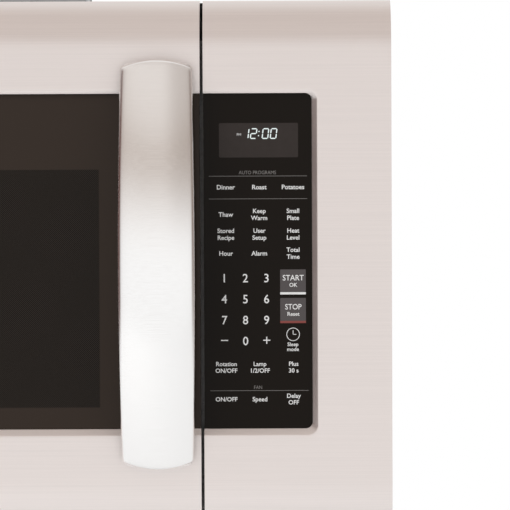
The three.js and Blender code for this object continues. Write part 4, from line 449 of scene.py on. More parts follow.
def handle_surface(t, inset):
    """The bar as rings, for t from -1 at the bottom to 1 at the top.

    With s from the middle line and w = 30.3 - 2.1 t^2, the face is at depth 7 (s / w)^2, the back
    is flat at 10, and small curves join them. A ring stands at -397 - (52 - 32 t^2) and its height
    is t (161.55 - 5 (s / w)^2). The inset shrinks a ring towards its middle surface.
    """
    t, inset = np.array(t)[:, None], np.array(inset)[:, None]
    half = handle_half - handle_waist * t * t
    wide, deep = handle_knee
    rim = half - wide
    shoulder, slope = handle_crown * (rim / half) ** 2, 2 * handle_crown * rim / half ** 2
    q = np.linspace(0, 1, 13)
    face = rim * q, handle_crown * (rim * q / half) ** 2
    q = np.linspace(0, 1, 7)[1:]
    knee = (half - wide * (1 - q) ** 2,
            shoulder + slope * wide * (2 * q - q * q) + deep * q * q)
    q = np.linspace(0, 1, 4)
    heel = half - handle_heel * q * q, handle_back - handle_heel * (1 - q) ** 2 + 0 * half
    q = np.linspace(1, 0, 6)[1:]
    rear = (half - handle_heel) * q, handle_back + 0 * half * q
    right = np.concatenate([face, knee, heel, rear], 2)
    left = right[:, :, ::-1][:, :, 1:] * np.array([-1, 1])[:, None, None]
    s, depth = np.concatenate([right, left], 2)
    middle = (handle_crown * (s / half) ** 2 + handle_back) / 2
    thick = handle_back - middle
    depth = middle + (depth - middle) * (1 - np.minimum(inset / thick, 1))
    s = s * (1 - np.minimum(inset, handle_edge[0]) / half)
    z = handle_z + t * (handle_length / 2 - handle_end_arc * (s / half) ** 2)
    y = front_y - handle_middle + (handle_middle - handle_tip) * t * t + depth
    return np.stack([handle_x + s, y, z], -1)


def soft_square(half_u, half_v):
    """A closed line of 49 points with |u / half_u|^5 + |v / half_v|^5 = 1."""
    angle = np.linspace(0, 2 * math.pi, 49)
    cos, sin = np.cos(angle), np.sin(angle)
    reach = (np.abs(cos) ** 5 + np.abs(sin) ** 5) ** -0.2
    return half_u * reach * cos, half_v * reach * sin


def post(sign):
    """A rounded post from inside the bar's back to the door, 1.4 mm wider all round at its foot."""
    t = post_from_middle / (handle_length / 2)
    bar_y = front_y - handle_middle + (handle_middle - handle_tip) * t * t + handle_back
    y, grow, size = np.array([
        (bar_y - 1, 0, 0), (bar_y - 1, 0, 1), (front_y - 3, 0, 1), (front_y - 1.5, 0.4, 1),
        (front_y - 0.3, 1.4, 1), (front_y - 0.3, 0, 0)]).T[:, :, None]
    u, v = soft_square(size * (post_half_width + grow), size * (post_half_height + grow))
    return np.stack([handle_x + u, y + 0 * u, handle_z + sign * post_from_middle + v], -1)


turn = np.radians(np.linspace(0, 90, 6))
end_t = 1 - handle_edge[0] / (handle_length / 2) * (1 - np.sin(turn))
end_inset = handle_edge[1] * (1 - np.cos(turn))
run = np.linspace(-end_t[0], end_t[0], 141)[1:-1]
shut = 99  # an inset past the middle surface, which closes the end
bar = handle_surface([-1, *-end_t[::-1], *run, *end_t, 1],
                     [shut, *end_inset[::-1], *0 * run, *end_inset, shut])
satin = brushed_steel("satin_stainless_painted_bright", satin_colour_painted_bright, satin_roughness, satin_scratch)
handle = weld("handle_bar", bar, post(1), post(-1))
handle.data.materials.append(satin.owner)
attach(handle, "door")
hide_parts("handle")


# ---- Door glass and control glass ----
# Two panes of black printed glass in the recess, flush at the split. The door pane is coloured a
# little browner and lighter, and has a field of fine dots over the window. The control pane is
# plain black.

window_box = (-324.7, 164.7, -129.7, 91.7)  # left, right, bottom, top of the oven window
window_margin, dot_pitch = 0.016, 0.0016
door_print_edge = (0.2285, 0.2275)  # x where the control pane's black passes into the door's
# The second colour is the door pane's, lighter and browner than the control pane's black.
black_print, brown_door_tone, dot_print = (
    (0.0078, 0.0049, 0.0030), (0.036, 0.025, 0.019), (0.042, 0.034, 0.028))


def dress(paint, *nodes):
    """Gives a material to every slot of these CAD nodes."""
    for node in nodes:
        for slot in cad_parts[node].material_slots:
            slot.material = paint.owner


def within(p, q, box, margin, fade):
    """1 in a rectangle of p and q, from a margin and a fade inside its edges, and 0 outside."""
    steps = (margin, margin + fade)
    p0, p1, q0, q1 = box
    return ((p - p0).between(*steps) * (p1 - p).between(*steps)
            * (q - q0).between(*steps) * (q1 - q).between(*steps))


pane = material("black_glass")
x, y, z = pane.axes()
inside = within(x, z, [edge / 1000 for edge in window_box], window_margin, 0.001)
weave = ((x + z).wave(dot_pitch) * (x - z).wave(dot_pitch)).between(0.35, 0.6)
border = pane.mix(x.between(*door_print_edge), black_print, brown_door_tone)
ink = pane.mix(inside, border, pane.mix(weave, black_print, dot_print))
smear = pane.noise(9, 3.0)
pane.surface(ink, 0.03 + 0.04 * smear, IOR=1.2)
dress(pane, "door_glass", "control_glass")


# ---- Clock display ----
# A smoked window in the print, with slanted seven segment figures that glow pale behind it and
# stand at noon.

glass_y = -392.7
display_window, window_radius = (243.3, 305.8, 84.3, 111.5), 1.2
figure_bottom, figure_height, stroke, slant = 98.9, 8.5, 0.85, math.tan(math.radians(7))
stroke_gap = 0.14
figures = [(261.6, 5.0, "1"), (267.6, 5.2, "2"), (276.9, 5.3, "0"), (283.3, 5.3, "0")]
lit = {"0": "abcdef", "1": "bc", "2": "abged"}
colon_dots, colon_half, colon_radius = ((274.6, 2.6), (275.0, 5.9)), 0.45, 0.3
window_lift, glow_lift = 0.03, 0.06  # off the face of the glass


def rectangle(x0, x1, z0, z1, radius=0.0):
    """A flat shape, as its corner points in (x, z) and its faces, with arcs round the corners where
    a radius is given."""
    if not radius:
        return np.array([(x1, z1), (x0, z1), (x0, z0), (x1, z0)]), [range(4)]
    centre = np.array([(x1 - radius, z1 - radius), (x0 + radius, z1 - radius),
                       (x0 + radius, z0 + radius), (x1 - radius, z0 + radius)])
    a = np.radians(np.linspace(0, 90, 5) + np.array([[0], [90], [180], [270]]))
    arc = centre[:, None] + radius * np.stack([np.cos(a), np.sin(a)], -1)
    return arc.reshape(-1, 2), [range(20)]


def square(x, z, half, radius=0.0):
    return rectangle(x - half, x + half, z - half, z + half, radius)


def printed(name, shapes, lift, paint):
    """Flat shapes, lifted so far off the control glass, as one piece of print."""
    flat = np.concatenate([outline for outline, faces in shapes])
    starts = np.cumsum([0] + [len(outline) for outline, faces in shapes])
    faces = [[start + i for i in loop]
             for start, (outline, loops) in zip(starts, shapes) for loop in loops]
    mesh = bpy.data.meshes.new(name)
    place = np.stack([flat[:, 0], np.full(len(flat), glass_y - lift), flat[:, 1]], -1)
    mesh.from_pydata((place / 1000).tolist(), [], faces)
    piece = bpy.data.objects.new(name, mesh)
    scene.collection.objects.link(piece)
    mesh.materials.append(paint.owner)
    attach(piece, "cabinet")


def segment(x, width, letter):
    """One stroke of a seven segment figure: a bar with pointed ends that leans by the slant."""
    h, s, gap = figure_height, stroke, stroke_gap
    column, level, flat = {"a": (0, h, 1), "g": (0, h / 2, 1), "d": (0, 0, 1), "f": (0, h / 2, 0),
                           "b": (1, h / 2, 0), "e": (0, 0, 0), "c": (1, 0, 0)}[letter]
    if flat:
        start, end = gap + s / 2, width - gap - s / 2
        middle = min(max(level - s / 2, 0), h - s) + s / 2
    else:
        start = level + gap + (level == 0) * s / 2
        end = level + h / 2 - gap - (level > 0) * s / 2
        middle = width - s / 2 if column else s / 2
    along = np.array([start, start + s / 2, end - s / 2, end, end - s / 2, start + s / 2])
    across = middle + (-s / 2 if flat else s / 2) * np.array([0, 1, 1, 0, -1, -1])
    u, v = (along, across) if flat else (across, along)
    return np.stack([x + u + slant * v, figure_bottom + v], -1), [range(6)]


smoked = material("smoked_window")
haze = smoked.noise(160)
smoked.surface(smoked.mix(haze, (0.034, 0.027, 0.024), (0.042, 0.033, 0.030)),
               0.06 + 0.03 * haze, IOR=1.2)
printed("display_window", [rectangle(*display_window, window_radius)], window_lift, smoked)

glow = material("display_glow")
flicker = 0.92 + 0.08 * glow.noise(900, 1.0)
glow.surface((0.02, 0.03, 0.03), 0.4, Emission_Strength=0.95,
             Emission_Color=glow.mix(flicker, (0.58, 0.66, 0.66), (0.86, 0.94, 0.93)))
strokes = [segment(x, width, letter) for x, width, figure in figures for letter in lit[figure]]
strokes += [square(x, figure_bottom + rise, colon_half, colon_radius) for x, rise in colon_dots]
printed("display_figures", strokes, glow_lift, glow)


# ---- Printed keys ----
# White and grey ink on the control glass: captions, figures in three columns, and two
# pads with a coloured bar. The words are plain ones of the kind such keys carry.

columns = (248.4, 274.9, 301.6)
word_cap, pair_cap, pair_step = 3.7, 3.6, 2.75  # heights of capitals, half the step of two lines
low_cap, speed_cap, heading_cap, heading_squeeze = 3.5, 3.6, 2.9, 0.9
figure_columns, figure_cap, figure_squeeze = (247.0, 263.7, 280.4), 7.0, 0.96
figure_rows = (-10.9, -27.5, -44.1, -60.7)
sign_reach, sign_half, sign_lift = 2.8, 0.4, 0.3
pad_left, pad_right, pad_radius, pad_x = 291.2, 311.5, 0.5, 301.5
start_pad, stop_pad, bar_height = (-22.4, -4.4), (-45.1, -27.0), 1.8
dial_x, dial_z, dial_outer, dial_inner = 301.3, -55.8, 5.3, 4.8
hand_half, hand_tail, minute_hand, hour_hand = 0.25, 0.3, 3.3, 2.6
rules, rule_half = ((235.1, 312.8, 69.6), (235.1, 312.8, 51.6), (235.6, 313.4, -100.3)), 0.16
font_capital = 0.729  # height of a capital at size 1
letter_weight, figure_weight, pad_weight = 0.016, 0.006, 0.010  # added round strokes at size 1
pad_lift, ink_lift = 0.02, 0.05


def lettering(text, x, z, cap, squeeze=1.0, weight=letter_weight):
    """One printed line, centred at x and z, as flat shapes with capitals of the height given."""
    curve = bpy.data.curves.new("line", "FONT")
    curve.body, curve.align_x, curve.resolution_u, curve.offset = text, "CENTER", 3, weight
    holder = bpy.data.objects.new("line", curve)
    mesh = bpy.data.meshes.new_from_object(holder)
    size = cap / font_capital
    corners = np.empty(3 * len(mesh.vertices), np.float32)
    mesh.vertices.foreach_get("co", corners)
    outline = (x, z - cap / 2) + size * corners.reshape(-1, 3)[:, :2] * (squeeze, 1)
    loops = [list(face.vertices) for face in mesh.polygons]
    bpy.data.objects.remove(holder)
    bpy.data.curves.remove(curve)
    bpy.data.meshes.remove(mesh)
    return outline, loops


def stacked(words, x, heights, cap):
    """Lines one above the other, parted by bars in the text."""
    return [lettering(word, x, z, cap) for word, z in zip(words.split("|"), heights)]


def inked(name, colour, rough=0.35):
    """Ink with the slight mottle of a screen print."""
    paint = material(name)
    mottle = paint.noise(2600)
    return paint.surface(paint.mix(mottle, tuple(0.86 * c for c in colour), colour),
                         rough + 0.1 * mottle)


white_print = []
for z, row in ((61.0, ("Dinner", "Roast", "Potatoes")),
               (39.4, ("Thaw", "Keep|Warm", "Small|Plate")),
               (23.8, ("Stored|Recipe", "User|Setup", "Heat|Level")),
               (8.6, ("Hour", "Alarm", "Total|Time"))):
    for words, x in zip(row, columns):
        white_print += (stacked(words, x, (z + pair_step, z - pair_step), pair_cap)
                        if "|" in words else [lettering(words, x, z, word_cap)])
keypad = [(x, z) for z in figure_rows[:3] for x in figure_columns]
for digit, (x, z) in zip("1234567890", [*keypad, (figure_columns[1], figure_rows[3])]):
    white_print.append(lettering(digit, x, z, figure_cap, figure_squeeze, figure_weight))
minus_x, plus_x, z = figure_columns[0], figure_columns[2], figure_rows[3] + sign_lift
white_print += [rectangle(x - sign_reach, x + sign_reach, z - sign_half, z + sign_half)
                for x in (minus_x, plus_x)]
white_print += [rectangle(plus_x - sign_half, plus_x + sign_half, z + low, z + high)
                for low, high in ((sign_half, sign_reach), (-sign_reach, -sign_half))]
for word, z, cap, squeeze, weight in (
        ("START", -10.8, 4.5, 0.93, pad_weight), ("STOP", -33.8, 4.5, 0.89, pad_weight),
        ("OK", -16.5, 3.1, 1.0, letter_weight), ("Reset", -39.5, 3.1, 1.0, letter_weight)):
    white_print.append(lettering(word, pad_x, z, cap, squeeze, weight))
white_print += stacked("Sleep|mode", 301.1, (-63.6, -67.5), 3.0)
for words, x in zip(("Rotation|ON/OFF", "Lamp|1/2/OFF", "Plus|30 s"), columns):
    white_print += stacked(words, x, (-79.0, -84.3), low_cap)
white_print += [lettering("ON/OFF", columns[0], -107.0, low_cap),
                lettering("Speed", columns[1], -107.0, speed_cap)]
white_print += stacked("Delay|OFF", columns[2], (-104.4, -109.6), low_cap)

ring = np.linspace(0, 2 * math.pi, 33)
dial = np.stack([np.cos(ring), np.sin(ring)], -1)
dial = (dial_x, dial_z) + np.concatenate([dial_outer * dial, dial_inner * dial])
white_print.append((dial, [(i, i + 1, i + 34, i + 33) for i in range(32)]))
white_print += [rectangle(dial_x - hand_half, dial_x + hand_half,
                          dial_z - hand_tail, dial_z + minute_hand),
                rectangle(dial_x - hand_half, dial_x + hour_hand,
                          dial_z - hand_tail, dial_z - hand_tail + 2 * hand_half)]
grey_print = [lettering(heading, x, z, heading_cap, heading_squeeze, 0.0)
              for heading, x, z in (("AUTO PROGRAMS", 273.6, 72.5), ("FAN", 273.4, -97.6))]
fine_print = [rectangle(left, right, z - rule_half, z + rule_half) for left, right, z in rules]
key_pads = [rectangle(pad_left, pad_right, *pad, pad_radius) for pad in (start_pad, stop_pad)]
start_bar, stop_bar = [[rectangle(pad_left, pad_right, pad[0] - bar_height, pad[0])]
                       for pad in (start_pad, stop_pad)]

small_mark = [lettering("PM", 259.1, 102.5, 2.1)]

printed("key_pads", key_pads, pad_lift, inked("pad_grey", (0.070, 0.058, 0.058), 0.2))
for name, shapes, ink, colour in (
        ("white_print", white_print, "white_ink", (0.88, 0.87, 0.86)),
        ("grey_print", grey_print, "grey_ink", (0.20, 0.185, 0.175)),
        ("small_mark", small_mark, "dim_ink", (0.60, 0.59, 0.58)),
        ("fine_lines", fine_print, "line_ink", (0.22, 0.205, 0.195)),
        ("start_bar", start_bar, "bar_white", (0.88, 0.87, 0.86)),
        ("stop_bar", stop_bar, "bar_red", (0.25, 0.046, 0.036))):
    printed(name, shapes, ink_lift, inked(ink, colour))


# ---- Cabinet sheets, door frame and motor cans ----
# Folded and drawn sheet steel under a baked black powder paint: a satin skin with a fine orange
# peel, a shade browner in broad soft clouds.

black_paint = material("black_paint")
peel = black_paint.noise(520)
cloud = black_paint.noise(11, 3.0)
black_paint.surface(black_paint.mix(cloud, (0.016, 0.0155, 0.015), (0.027, 0.0255, 0.024)),
                    0.38 + 0.12 * peel, Normal=black_paint.bump(peel, 0.00005, 0.6))
dress(black_paint, "case_wrap", "base_plate", "door_frame", "blower_motor", "fan_motor")


# ---- Zinc coated sheet ----
# Back panel, wall plate, ducts, blowers, hinges and small brackets: pressed from hot dip zinc
# sheet, whose crystals of about 8 mm shine each at its own level.

zinc = material("galvanised")
crystal = zinc.cells(125, output="Color")
frost = zinc.noise(1100)
zinc.surface(zinc.mix(crystal, (0.45, 0.46, 0.47), (0.66, 0.67, 0.68)),
             0.30 + 0.16 * crystal + 0.08 * frost, Metallic=1.0,
             Normal=zinc.bump(frost, 0.00003, 0.5))
dress(zinc, "back_panel", "wall_plate", "exhaust_adaptor", "damper_flap", "waveguide",
      "cavity_lamp", "hinge_upper", "hinge_lower", "turntable_motor", "blower_housing_left",
      "blower_housing_right", "blower_wheel_left", "blower_wheel_right")


# ---- Oven and its front frame ----
# Drawn steel with a grey acrylic enamel: a smooth, slightly wavy coat with fine dark and pale
# specks.

enamel = material("speckled_enamel")
ripple = enamel.noise(160)
grit = enamel.cells(650)
shade = enamel.cells(650, output="Color")
fleck = grit.between(0.34, 0.22) * shade.between(0.45, 0.6)
pale = grit.between(0.26, 0.16) * shade.between(0.38, 0.3)
coat = enamel.mix(ripple, (0.40, 0.395, 0.385), (0.45, 0.445, 0.435))
coat = enamel.mix(fleck, coat, (0.17, 0.165, 0.16))
enamel.surface(enamel.mix(pale, coat, (0.66, 0.655, 0.645)), 0.24 + 0.08 * ripple,
               Normal=enamel.bump(ripple, 0.00006, 0.5))
dress(enamel, "oven_cavity", "front_frame")


# ---- Inner window and window screen ----
# A clear heat proof pane on the oven side of the door, over a black steel screen that is punched
# with rows of holes, 0.9 mm wide and 2 mm apart.

clear = material("clear_glass")
film = clear.noise(14, 3.0)
clear.surface(clear.mix(film, (0.90, 0.94, 0.925), (0.94, 0.965, 0.955)), 0.015 + 0.05 * film,
              IOR=1.47, Transmission_Weight=1.0)
dress(clear, "inner_window")

hole_pitch = 0.002
punched = material("punched_steel")
x, y, z = punched.axes()
hole = (x.wave(hole_pitch) * z.wave(hole_pitch)).between(0.58, 0.66)
dull = punched.noise(700)
punched.surface(punched.mix(dull, (0.018, 0.018, 0.018), (0.032, 0.031, 0.030)),
                0.45 + 0.1 * dull, Alpha=1 - hole)
dress(punched, "window_screen")


# ---- Glass tray ----
# A pressed clear glass dish, 320 mm across, with a rolled rim, two raised rings on its floor and
# three lugs below that the coupler turns it by. It lies on the rollers.

table_x, table_y, oven_floor = -80.0, -184.25, -150.0
tray_radius, tray_flat, tray_thickness, tray_rise, tray_under = 160.0, 140.0, 5.0, 14.0, 16.6
rim_radius, tray_ramps = 1.5, (11.0, 7.5)  # how far the underside and the upper side climb
bead_radii, bead_height, bead_half = (62.0, 118.0), 1.2, 5
lug_from, lug_to, lug_side, lug_width, lug_bottom = 20.0, 28.0, 4.8, 6.0, 8.0


def lathe(profile, steps):
    """The surface that (radius, height) points sweep about the turntable axis."""
    radius, height = profile
    angle = np.linspace(0, 2 * math.pi, steps + 1)
    return np.stack([table_x + radius[:, None] * np.cos(angle),
                     table_y + radius[:, None] * np.sin(angle),
                     oven_floor + np.repeat(height[:, None], steps + 1, 1)], -1)


def tray_profile():
    """Underside h = 16.6 + 11 s^2 and upper side 21.6 + 7.5 s^2, with s from 0 at the edge of the
    flat to 1 near the rim, closed by a round rim of 1.5 mm. Rings 1.2 mm high at radius 62 and 118
    have the form 1.2 cos^2, over 5 mm to each side."""
    s, turn = np.linspace(0, 1, 11), np.radians(np.linspace(-60, 150, 9))
    rim_r, rim_z = tray_radius - rim_radius, tray_under + tray_rise - rim_radius
    top = tray_under + tray_thickness
    inner = np.linspace(tray_flat - 3, 0, 70)
    upper = s[::-1]
    beads = [np.where(abs(inner - r) < bead_half,
                      bead_height * np.cos((inner - r) * math.pi / (2 * bead_half)) ** 2, 0)
             for r in bead_radii]
    return np.concatenate([
        [(0.0, tray_flat / 2), (tray_under, tray_under)],
        [tray_flat + (rim_r - tray_flat) * s, tray_under + tray_ramps[0] * s ** 2],
        [rim_r + rim_radius * np.cos(turn), rim_z + rim_radius * np.sin(turn)],
        [tray_flat - 2 + (tray_radius - 4 - tray_flat) * upper, top + tray_ramps[1] * upper ** 2],
        [inner, top + sum(beads)]], 1)


def lug(turn):
    """A rounded lug under the tray, turned about the axis by an angle in degrees."""
    height, grow, size = np.array([
        (tray_under + 0.5, 0.8, 0), (tray_under + 0.5, 0.8, 1), (tray_under - 1.2, 0, 1),
        (lug_bottom + 0.8, 0, 1), (lug_bottom, -0.8, 1), (lug_bottom, 0, 0)]).T[:, :, None]
    u, v = soft_square(size * ((lug_to - lug_from) / 2 + grow), size * (lug_width / 2 + grow))
    u, v, a = u + (lug_from + lug_to) / 2, v + lug_side + lug_width / 2, math.radians(turn)
    return np.stack([table_x + u * math.cos(a) - v * math.sin(a),
                     table_y + u * math.sin(a) + v * math.cos(a),
                     oven_floor + height + 0 * u], -1)


pressed = material("pressed_glass")
swirl = pressed.noise(18)
pressed.surface(pressed.mix(swirl, (0.90, 0.95, 0.93), (0.95, 0.975, 0.965)),
                0.02 + 0.04 * swirl, IOR=1.47, Transmission_Weight=1.0,
                Normal=pressed.bump(swirl, 0.0002, 0.5))
tray = weld("tray_dish", lathe(tray_profile(), 96), lug(0), lug(120), lug(240))
tray.data.materials.append(pressed.owner)
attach(tray, "turntable")
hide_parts("glass_tray")


# ---- White mouldings ----
# Turntable ring, rollers, shaft and coupler, door latch, switch channel, sensor and lamp cups:
# injection moulded in a milky heat proof plastic with a fine spark finish.

white_plastic = material("white_plastic")
milk = white_plastic.noise(30)
spark = white_plastic.noise(2400)
white_plastic.surface(white_plastic.mix(milk, (0.70, 0.685, 0.65), (0.78, 0.77, 0.74)),
                      0.40 + 0.12 * spark, Normal=white_plastic.bump(spark, 0.00002, 0.5))
dress(white_plastic, "roller_ring", "roller_1", "roller_2", "roller_3", "turntable_shaft",
      "turntable_coupler", "door_latch", "latch_board", "humidity_sensor", "cooktop_lamp_left",
      "cooktop_lamp_right")


# ---- Black mouldings ----
# Vent grille, choke cover, panel chassis, display module, key membrane, fan housing and blade, and
# bushing: black plastic with an even leather of about 0.7 mm, greyer where it catches light.

black_plastic = material("black_plastic")
leather = black_plastic.cells(1500, "SMOOTH_F1")
tint = black_plastic.noise(25)
black_plastic.surface(black_plastic.mix(tint, (0.017, 0.017, 0.017), (0.026, 0.0255, 0.025)),
                      0.44 + 0.14 * leather, Normal=black_plastic.bump(leather, 0.00004, 0.6))
dress(black_plastic, "vent_grille", "choke_cover", "panel_chassis", "display_module",
      "key_membrane", "fan_housing", "fan_blade", "cord_bushing")


# ---- Charcoal filter ----
# Loose carbon grains of 2 to 3 mm in the cells of a pressed fibre frame, which closes its front.

fibre_wall = 0.0022
charcoal = material("charcoal")
x, y, z = charcoal.axes()
low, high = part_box("charcoal_filter")
grain_core = charcoal.cells(380)
grain_tone = charcoal.cells(380, output="Color")
cell = (y - low[1]).between(fibre_wall, fibre_wall + 0.0002)
fibre = charcoal.noise(300, 4.0)
pulp = charcoal.mix(fibre, (0.020, 0.019, 0.018), (0.038, 0.036, 0.034))
carbon = charcoal.mix(grain_tone, (0.006, 0.006, 0.007), (0.040, 0.040, 0.042))
charcoal.surface(charcoal.mix(cell, pulp, carbon), 0.62 + 0.3 * fibre - 0.25 * cell * grain_tone,
                 Normal=charcoal.bump(cell * (1 - grain_core) + 0.1 * fibre, 0.0008, 0.9))
dress(charcoal, "charcoal_filter")


# ---- Grease filters ----
# Layers of expanded aluminium foil, diamonds of about 5 by 8 mm, pressed into a folded aluminium
# band with a pull ring. The holes between strands are painted near black and the strands of the
# layer below dimmer: painted shade.

band, mesh_pitch, mesh_slope = 0.007, 0.0050, 0.62
grease_mesh = material("aluminium_mesh")
x, y, z = grease_mesh.axes()
low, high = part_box("grease_filter_right")
pad = within(abs(x), y, (low[0], high[0], low[1], high[1]), band, 0.0004)
rising, falling = x * mesh_slope + y, x * mesh_slope - y
strand = rising.wave(mesh_pitch).high(falling.wave(mesh_pitch)) ** 3.0
shaded_lower_layer = (rising + 0.0017).wave(mesh_pitch).high((falling + 0.0011).wave(mesh_pitch)) ** 3.0
rolled = grease_mesh.noise((60, 900, 60))
weave = strand.high(0.55 * shaded_lower_layer)
# painted shade: near black in the holes between strands, dimmer on the layer below
metal = grease_mesh.mix(weave, (0.16, 0.155, 0.15), (0.66, 0.665, 0.67))
frame_metal = grease_mesh.mix(rolled, (0.60, 0.605, 0.61), (0.70, 0.705, 0.71))
grease_mesh.surface(grease_mesh.mix(pad, frame_metal, metal),
                    0.30 + 0.15 * rolled + 0.15 * (1 - weave) * pad, Metallic=1.0,
                    Normal=grease_mesh.bump(pad * weave + 0.03 * rolled, 0.0007, 0.8))
dress(grease_mesh, "grease_filter_left", "grease_filter_right")


# ---- Cooktop lamp lenses ----
# Frosted pressed glass with fine ribs across, 3 mm apart, which spread the light.

rib_pitch = 0.003
ribbed = material("ribbed_lens")
x, y, z = ribbed.axes()
mist = ribbed.noise(50)
ribbed.surface(ribbed.mix(mist, (0.86, 0.88, 0.87), (0.93, 0.94, 0.935)), 0.28 + 0.12 * mist,
               IOR=1.47, Transmission_Weight=0.85,
               Normal=ribbed.bump(x.wave(rib_pitch), 0.0006, 0.8))
dress(ribbed, "lamp_lens_left", "lamp_lens_right")


# ---- Circuit boards ----
# Green solder mask over copper tracks, which show paler, with tinned pins 2.54 mm apart and dark
# moulded relays and chips. The control board lies behind the glass, the relay board stands upright.

pin_pitch = 0.00254
control_front, relay_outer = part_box("control_board")[0][1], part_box("relay_board")[1][0]
relay_plate = 0.0160  # from the outer ends of its feet to just past the plate's face
board = material("circuit_board")
x, y, z = board.axes()
tall = (y - control_front).between(0.0019, 0.0021) * y.between(-0.345, -0.35)
tall = tall.high((relay_outer - relay_plate - x).between(0.0002, 0.0004)
                 * y.between(-0.34, -0.335))
track = board.cells(90, "DISTANCE_TO_EDGE").between(0.07, 0.04)
pin = ((y.wave(pin_pitch) * z.wave(pin_pitch)).between(0.90, 0.94)
       * board.noise(60).between(0.5, 0.55))
mask = board.mix(track, (0.012, 0.060, 0.028), (0.030, 0.125, 0.060))
mask = board.mix(pin, mask, (0.55, 0.55, 0.53))
part_tone = board.cells(45, output="Color")
parts = board.mix(part_tone, (0.015, 0.015, 0.016), (0.070, 0.068, 0.062))
board.surface(board.mix(tall, mask, parts), 0.32 + 0.2 * part_tone,
              Normal=board.bump(track, 0.00004, 0.5))
dress(board, "control_board", "relay_board")


# ---- Transformer ----
# A welded stack of silicon steel plates under dark varnish, with two coils of copper wire that
# stand out at the front and back.

bulge, plate_pitch, wire_pitch = 0.014, 0.0007, 0.0013
coil = material("transformer")
x, y, z = coil.axes()
low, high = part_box("hv_transformer")
copper = ((low[1] + bulge - y).between(0.0, 0.0003)).high(
    (y - high[1] + bulge).between(0.0, 0.0003))
plates, wires = y.wave(plate_pitch), z.wave(wire_pitch)
stain = coil.noise(70, 3.0)
varnish = coil.mix(stain, (0.055, 0.045, 0.038), (0.13, 0.115, 0.10))
coil.surface(coil.mix(copper, varnish, coil.mix(stain, (0.36, 0.125, 0.05), (0.58, 0.24, 0.10))),
             0.42 + 0.15 * stain, Metallic=0.8,
             Normal=coil.bump(copper * wires + (1 - copper) * 0.3 * plates, 0.0003, 0.8))
dress(coil, "hv_transformer")


# ---- Magnetron and capacitor ----
# The magnetron's yoke and filter box are plated steel round bright aluminium fins. The capacitor
# is a drawn tin can with the black diode between its terminals.

diode_bottom, diode_top, diode_inset = 0.0112, 0.0012, 0.031  # from the top and from both ends
plated = material("plated_metal")
x, y, z = plated.axes()
low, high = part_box("hv_capacitor")
dark = ((z - high[2] + diode_bottom).between(0.0, 0.0004)
        * (high[2] - diode_top - z).between(0.0, 0.0004)
        * (y - low[1] - diode_inset).between(0.0, 0.0005)
        * (high[1] - diode_inset - y).between(0.0, 0.0005)
        * (x - low[0]).between(0.0, 0.001))
drawn = plated.noise((600, 40, 600), 3.0)
tin = plated.mix(drawn, (0.52, 0.525, 0.53), (0.70, 0.705, 0.71))
plated.surface(plated.mix(dark, tin, (0.02, 0.02, 0.02)), 0.28 + 0.2 * drawn, Metallic=1 - dark,
               Normal=plated.bump(drawn, 0.00004, 0.5))
dress(plated, "magnetron", "hv_capacitor")


# ---- Mica cover ----
# A pressed mica sheet over the waveguide port: pale brown, with overlapping silvery flakes.

mica = material("mica")
flake = mica.cells(260, output="Color")
vein = mica.noise((90, 240, 240), 4.0)
brown = mica.mix(vein, (0.34, 0.27, 0.17), (0.46, 0.385, 0.26))
mica.surface(mica.mix(flake, brown, (0.56, 0.49, 0.36)), 0.30 + 0.25 * flake, Metallic=0.25,
             Normal=mica.bump(flake, 0.00005, 0.6))
dress(mica, "mica_cover")


# ---- Latch spring and blower shaft ----
# Hard drawn steel wire and ground bar, bright with fine scratches along and across.

bright_steel = material("bright_steel")
scratch = bright_steel.noise((3000, 300, 3000), 3.0)
bright_steel.surface(bright_steel.mix(scratch, (0.50, 0.50, 0.505), (0.66, 0.66, 0.665)),
                     0.20 + 0.2 * scratch, Metallic=1.0,
                     Normal=bright_steel.bump(scratch, 0.00001, 0.5))
dress(bright_steel, "latch_spring", "blower_shaft")


# ---- Screws ----
# Zinc plated pan head screws with a cross recess. They hold the back panel to the flanges of the
# case, the exhaust adaptor to the top, and the hinge brackets behind the front frame.

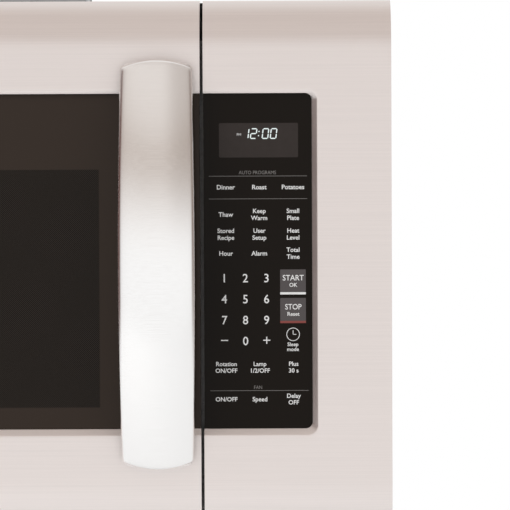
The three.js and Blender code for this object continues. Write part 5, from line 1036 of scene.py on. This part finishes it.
screw_radius, screw_height = 3.6, 1.35
cross_half, cross_reach, cross_depth = 0.65, 2.1, 0.7
cross_side, cross_end = 0.2, 0.35  # widths of the slopes at the cross's sides and ends
frame_front, panel_back, flange_top = -356.5, -1.8, 210.05
panel_places = [(x, panel_back, z) for x in (-368, 368) for z in (-170, -45, 80, 185)]
panel_places += [(x, panel_back, 199) for x in (-260, -90, 90, 260)]
adaptor_places = [(x, y, flange_top) for x in (-134, 134) for y in (-114.5, -17.5)]
hinge_places = [(x, frame_front, z) for z in (157.3, -176.3) for x in (-372.0, -356.0)]
backwards, upwards, forwards = range(3)  # the ways that a head can face


def screw_heads(name, places, facing):
    """Screws on the cabinet, at places on the face that they hold.

    With r from the axis, a head is 1.35 (1 - (r / 3.6)^4)^0.5 high, and a cross is cut into it
    0.7 mm deep, 1.1 mm wide and 2.1 mm out. Each is turned by its own angle.
    """
    r = screw_radius * np.sin(np.linspace(0, math.pi / 2, 22))[:, None]
    a = np.linspace(0, 2 * math.pi, 65)[None]
    grids = []
    for place, (x, y, z) in enumerate(places):
        u, v = r * np.cos(a), r * np.sin(a)
        arm = [np.clip((cross_half - abs(p)) / cross_side, 0, 1)
               * np.clip((cross_reach - abs(q)) / cross_end, 0, 1) for p, q in ((u, v), (v, u))]
        h = (screw_height * np.sqrt(1 - np.minimum(r / screw_radius, 1) ** 4)
             - cross_depth * np.maximum(*arm))
        turn = 1.1 * place + 0.3
        u, v = u * math.cos(turn) - v * math.sin(turn), u * math.sin(turn) + v * math.cos(turn)
        grids.append(np.stack([(x + u, y + h, z + v), (x + u, y + v, z + h),
                               (x + u, y - h, z + v)][facing], -1))
    heads = weld(name, *grids, facing=((0, 1, 0), (0, 0, 1), (0, -1, 0))[facing], crease=50)
    heads.data.materials.append(screw_zinc.owner)
    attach(heads, "cabinet")


screw_zinc = material("screw_zinc")
passivate = screw_zinc.noise(400)
screw_zinc.surface(screw_zinc.mix(passivate, (0.50, 0.50, 0.49), (0.66, 0.66, 0.65)),
                   0.22 + 0.2 * passivate, Metallic=1.0,
                   Normal=screw_zinc.bump(passivate, 0.00003, 0.5))
screw_heads("panel_screws", panel_places, backwards)
screw_heads("adaptor_screws", adaptor_places, upwards)
screw_heads("hinge_screws", hinge_places, forwards)
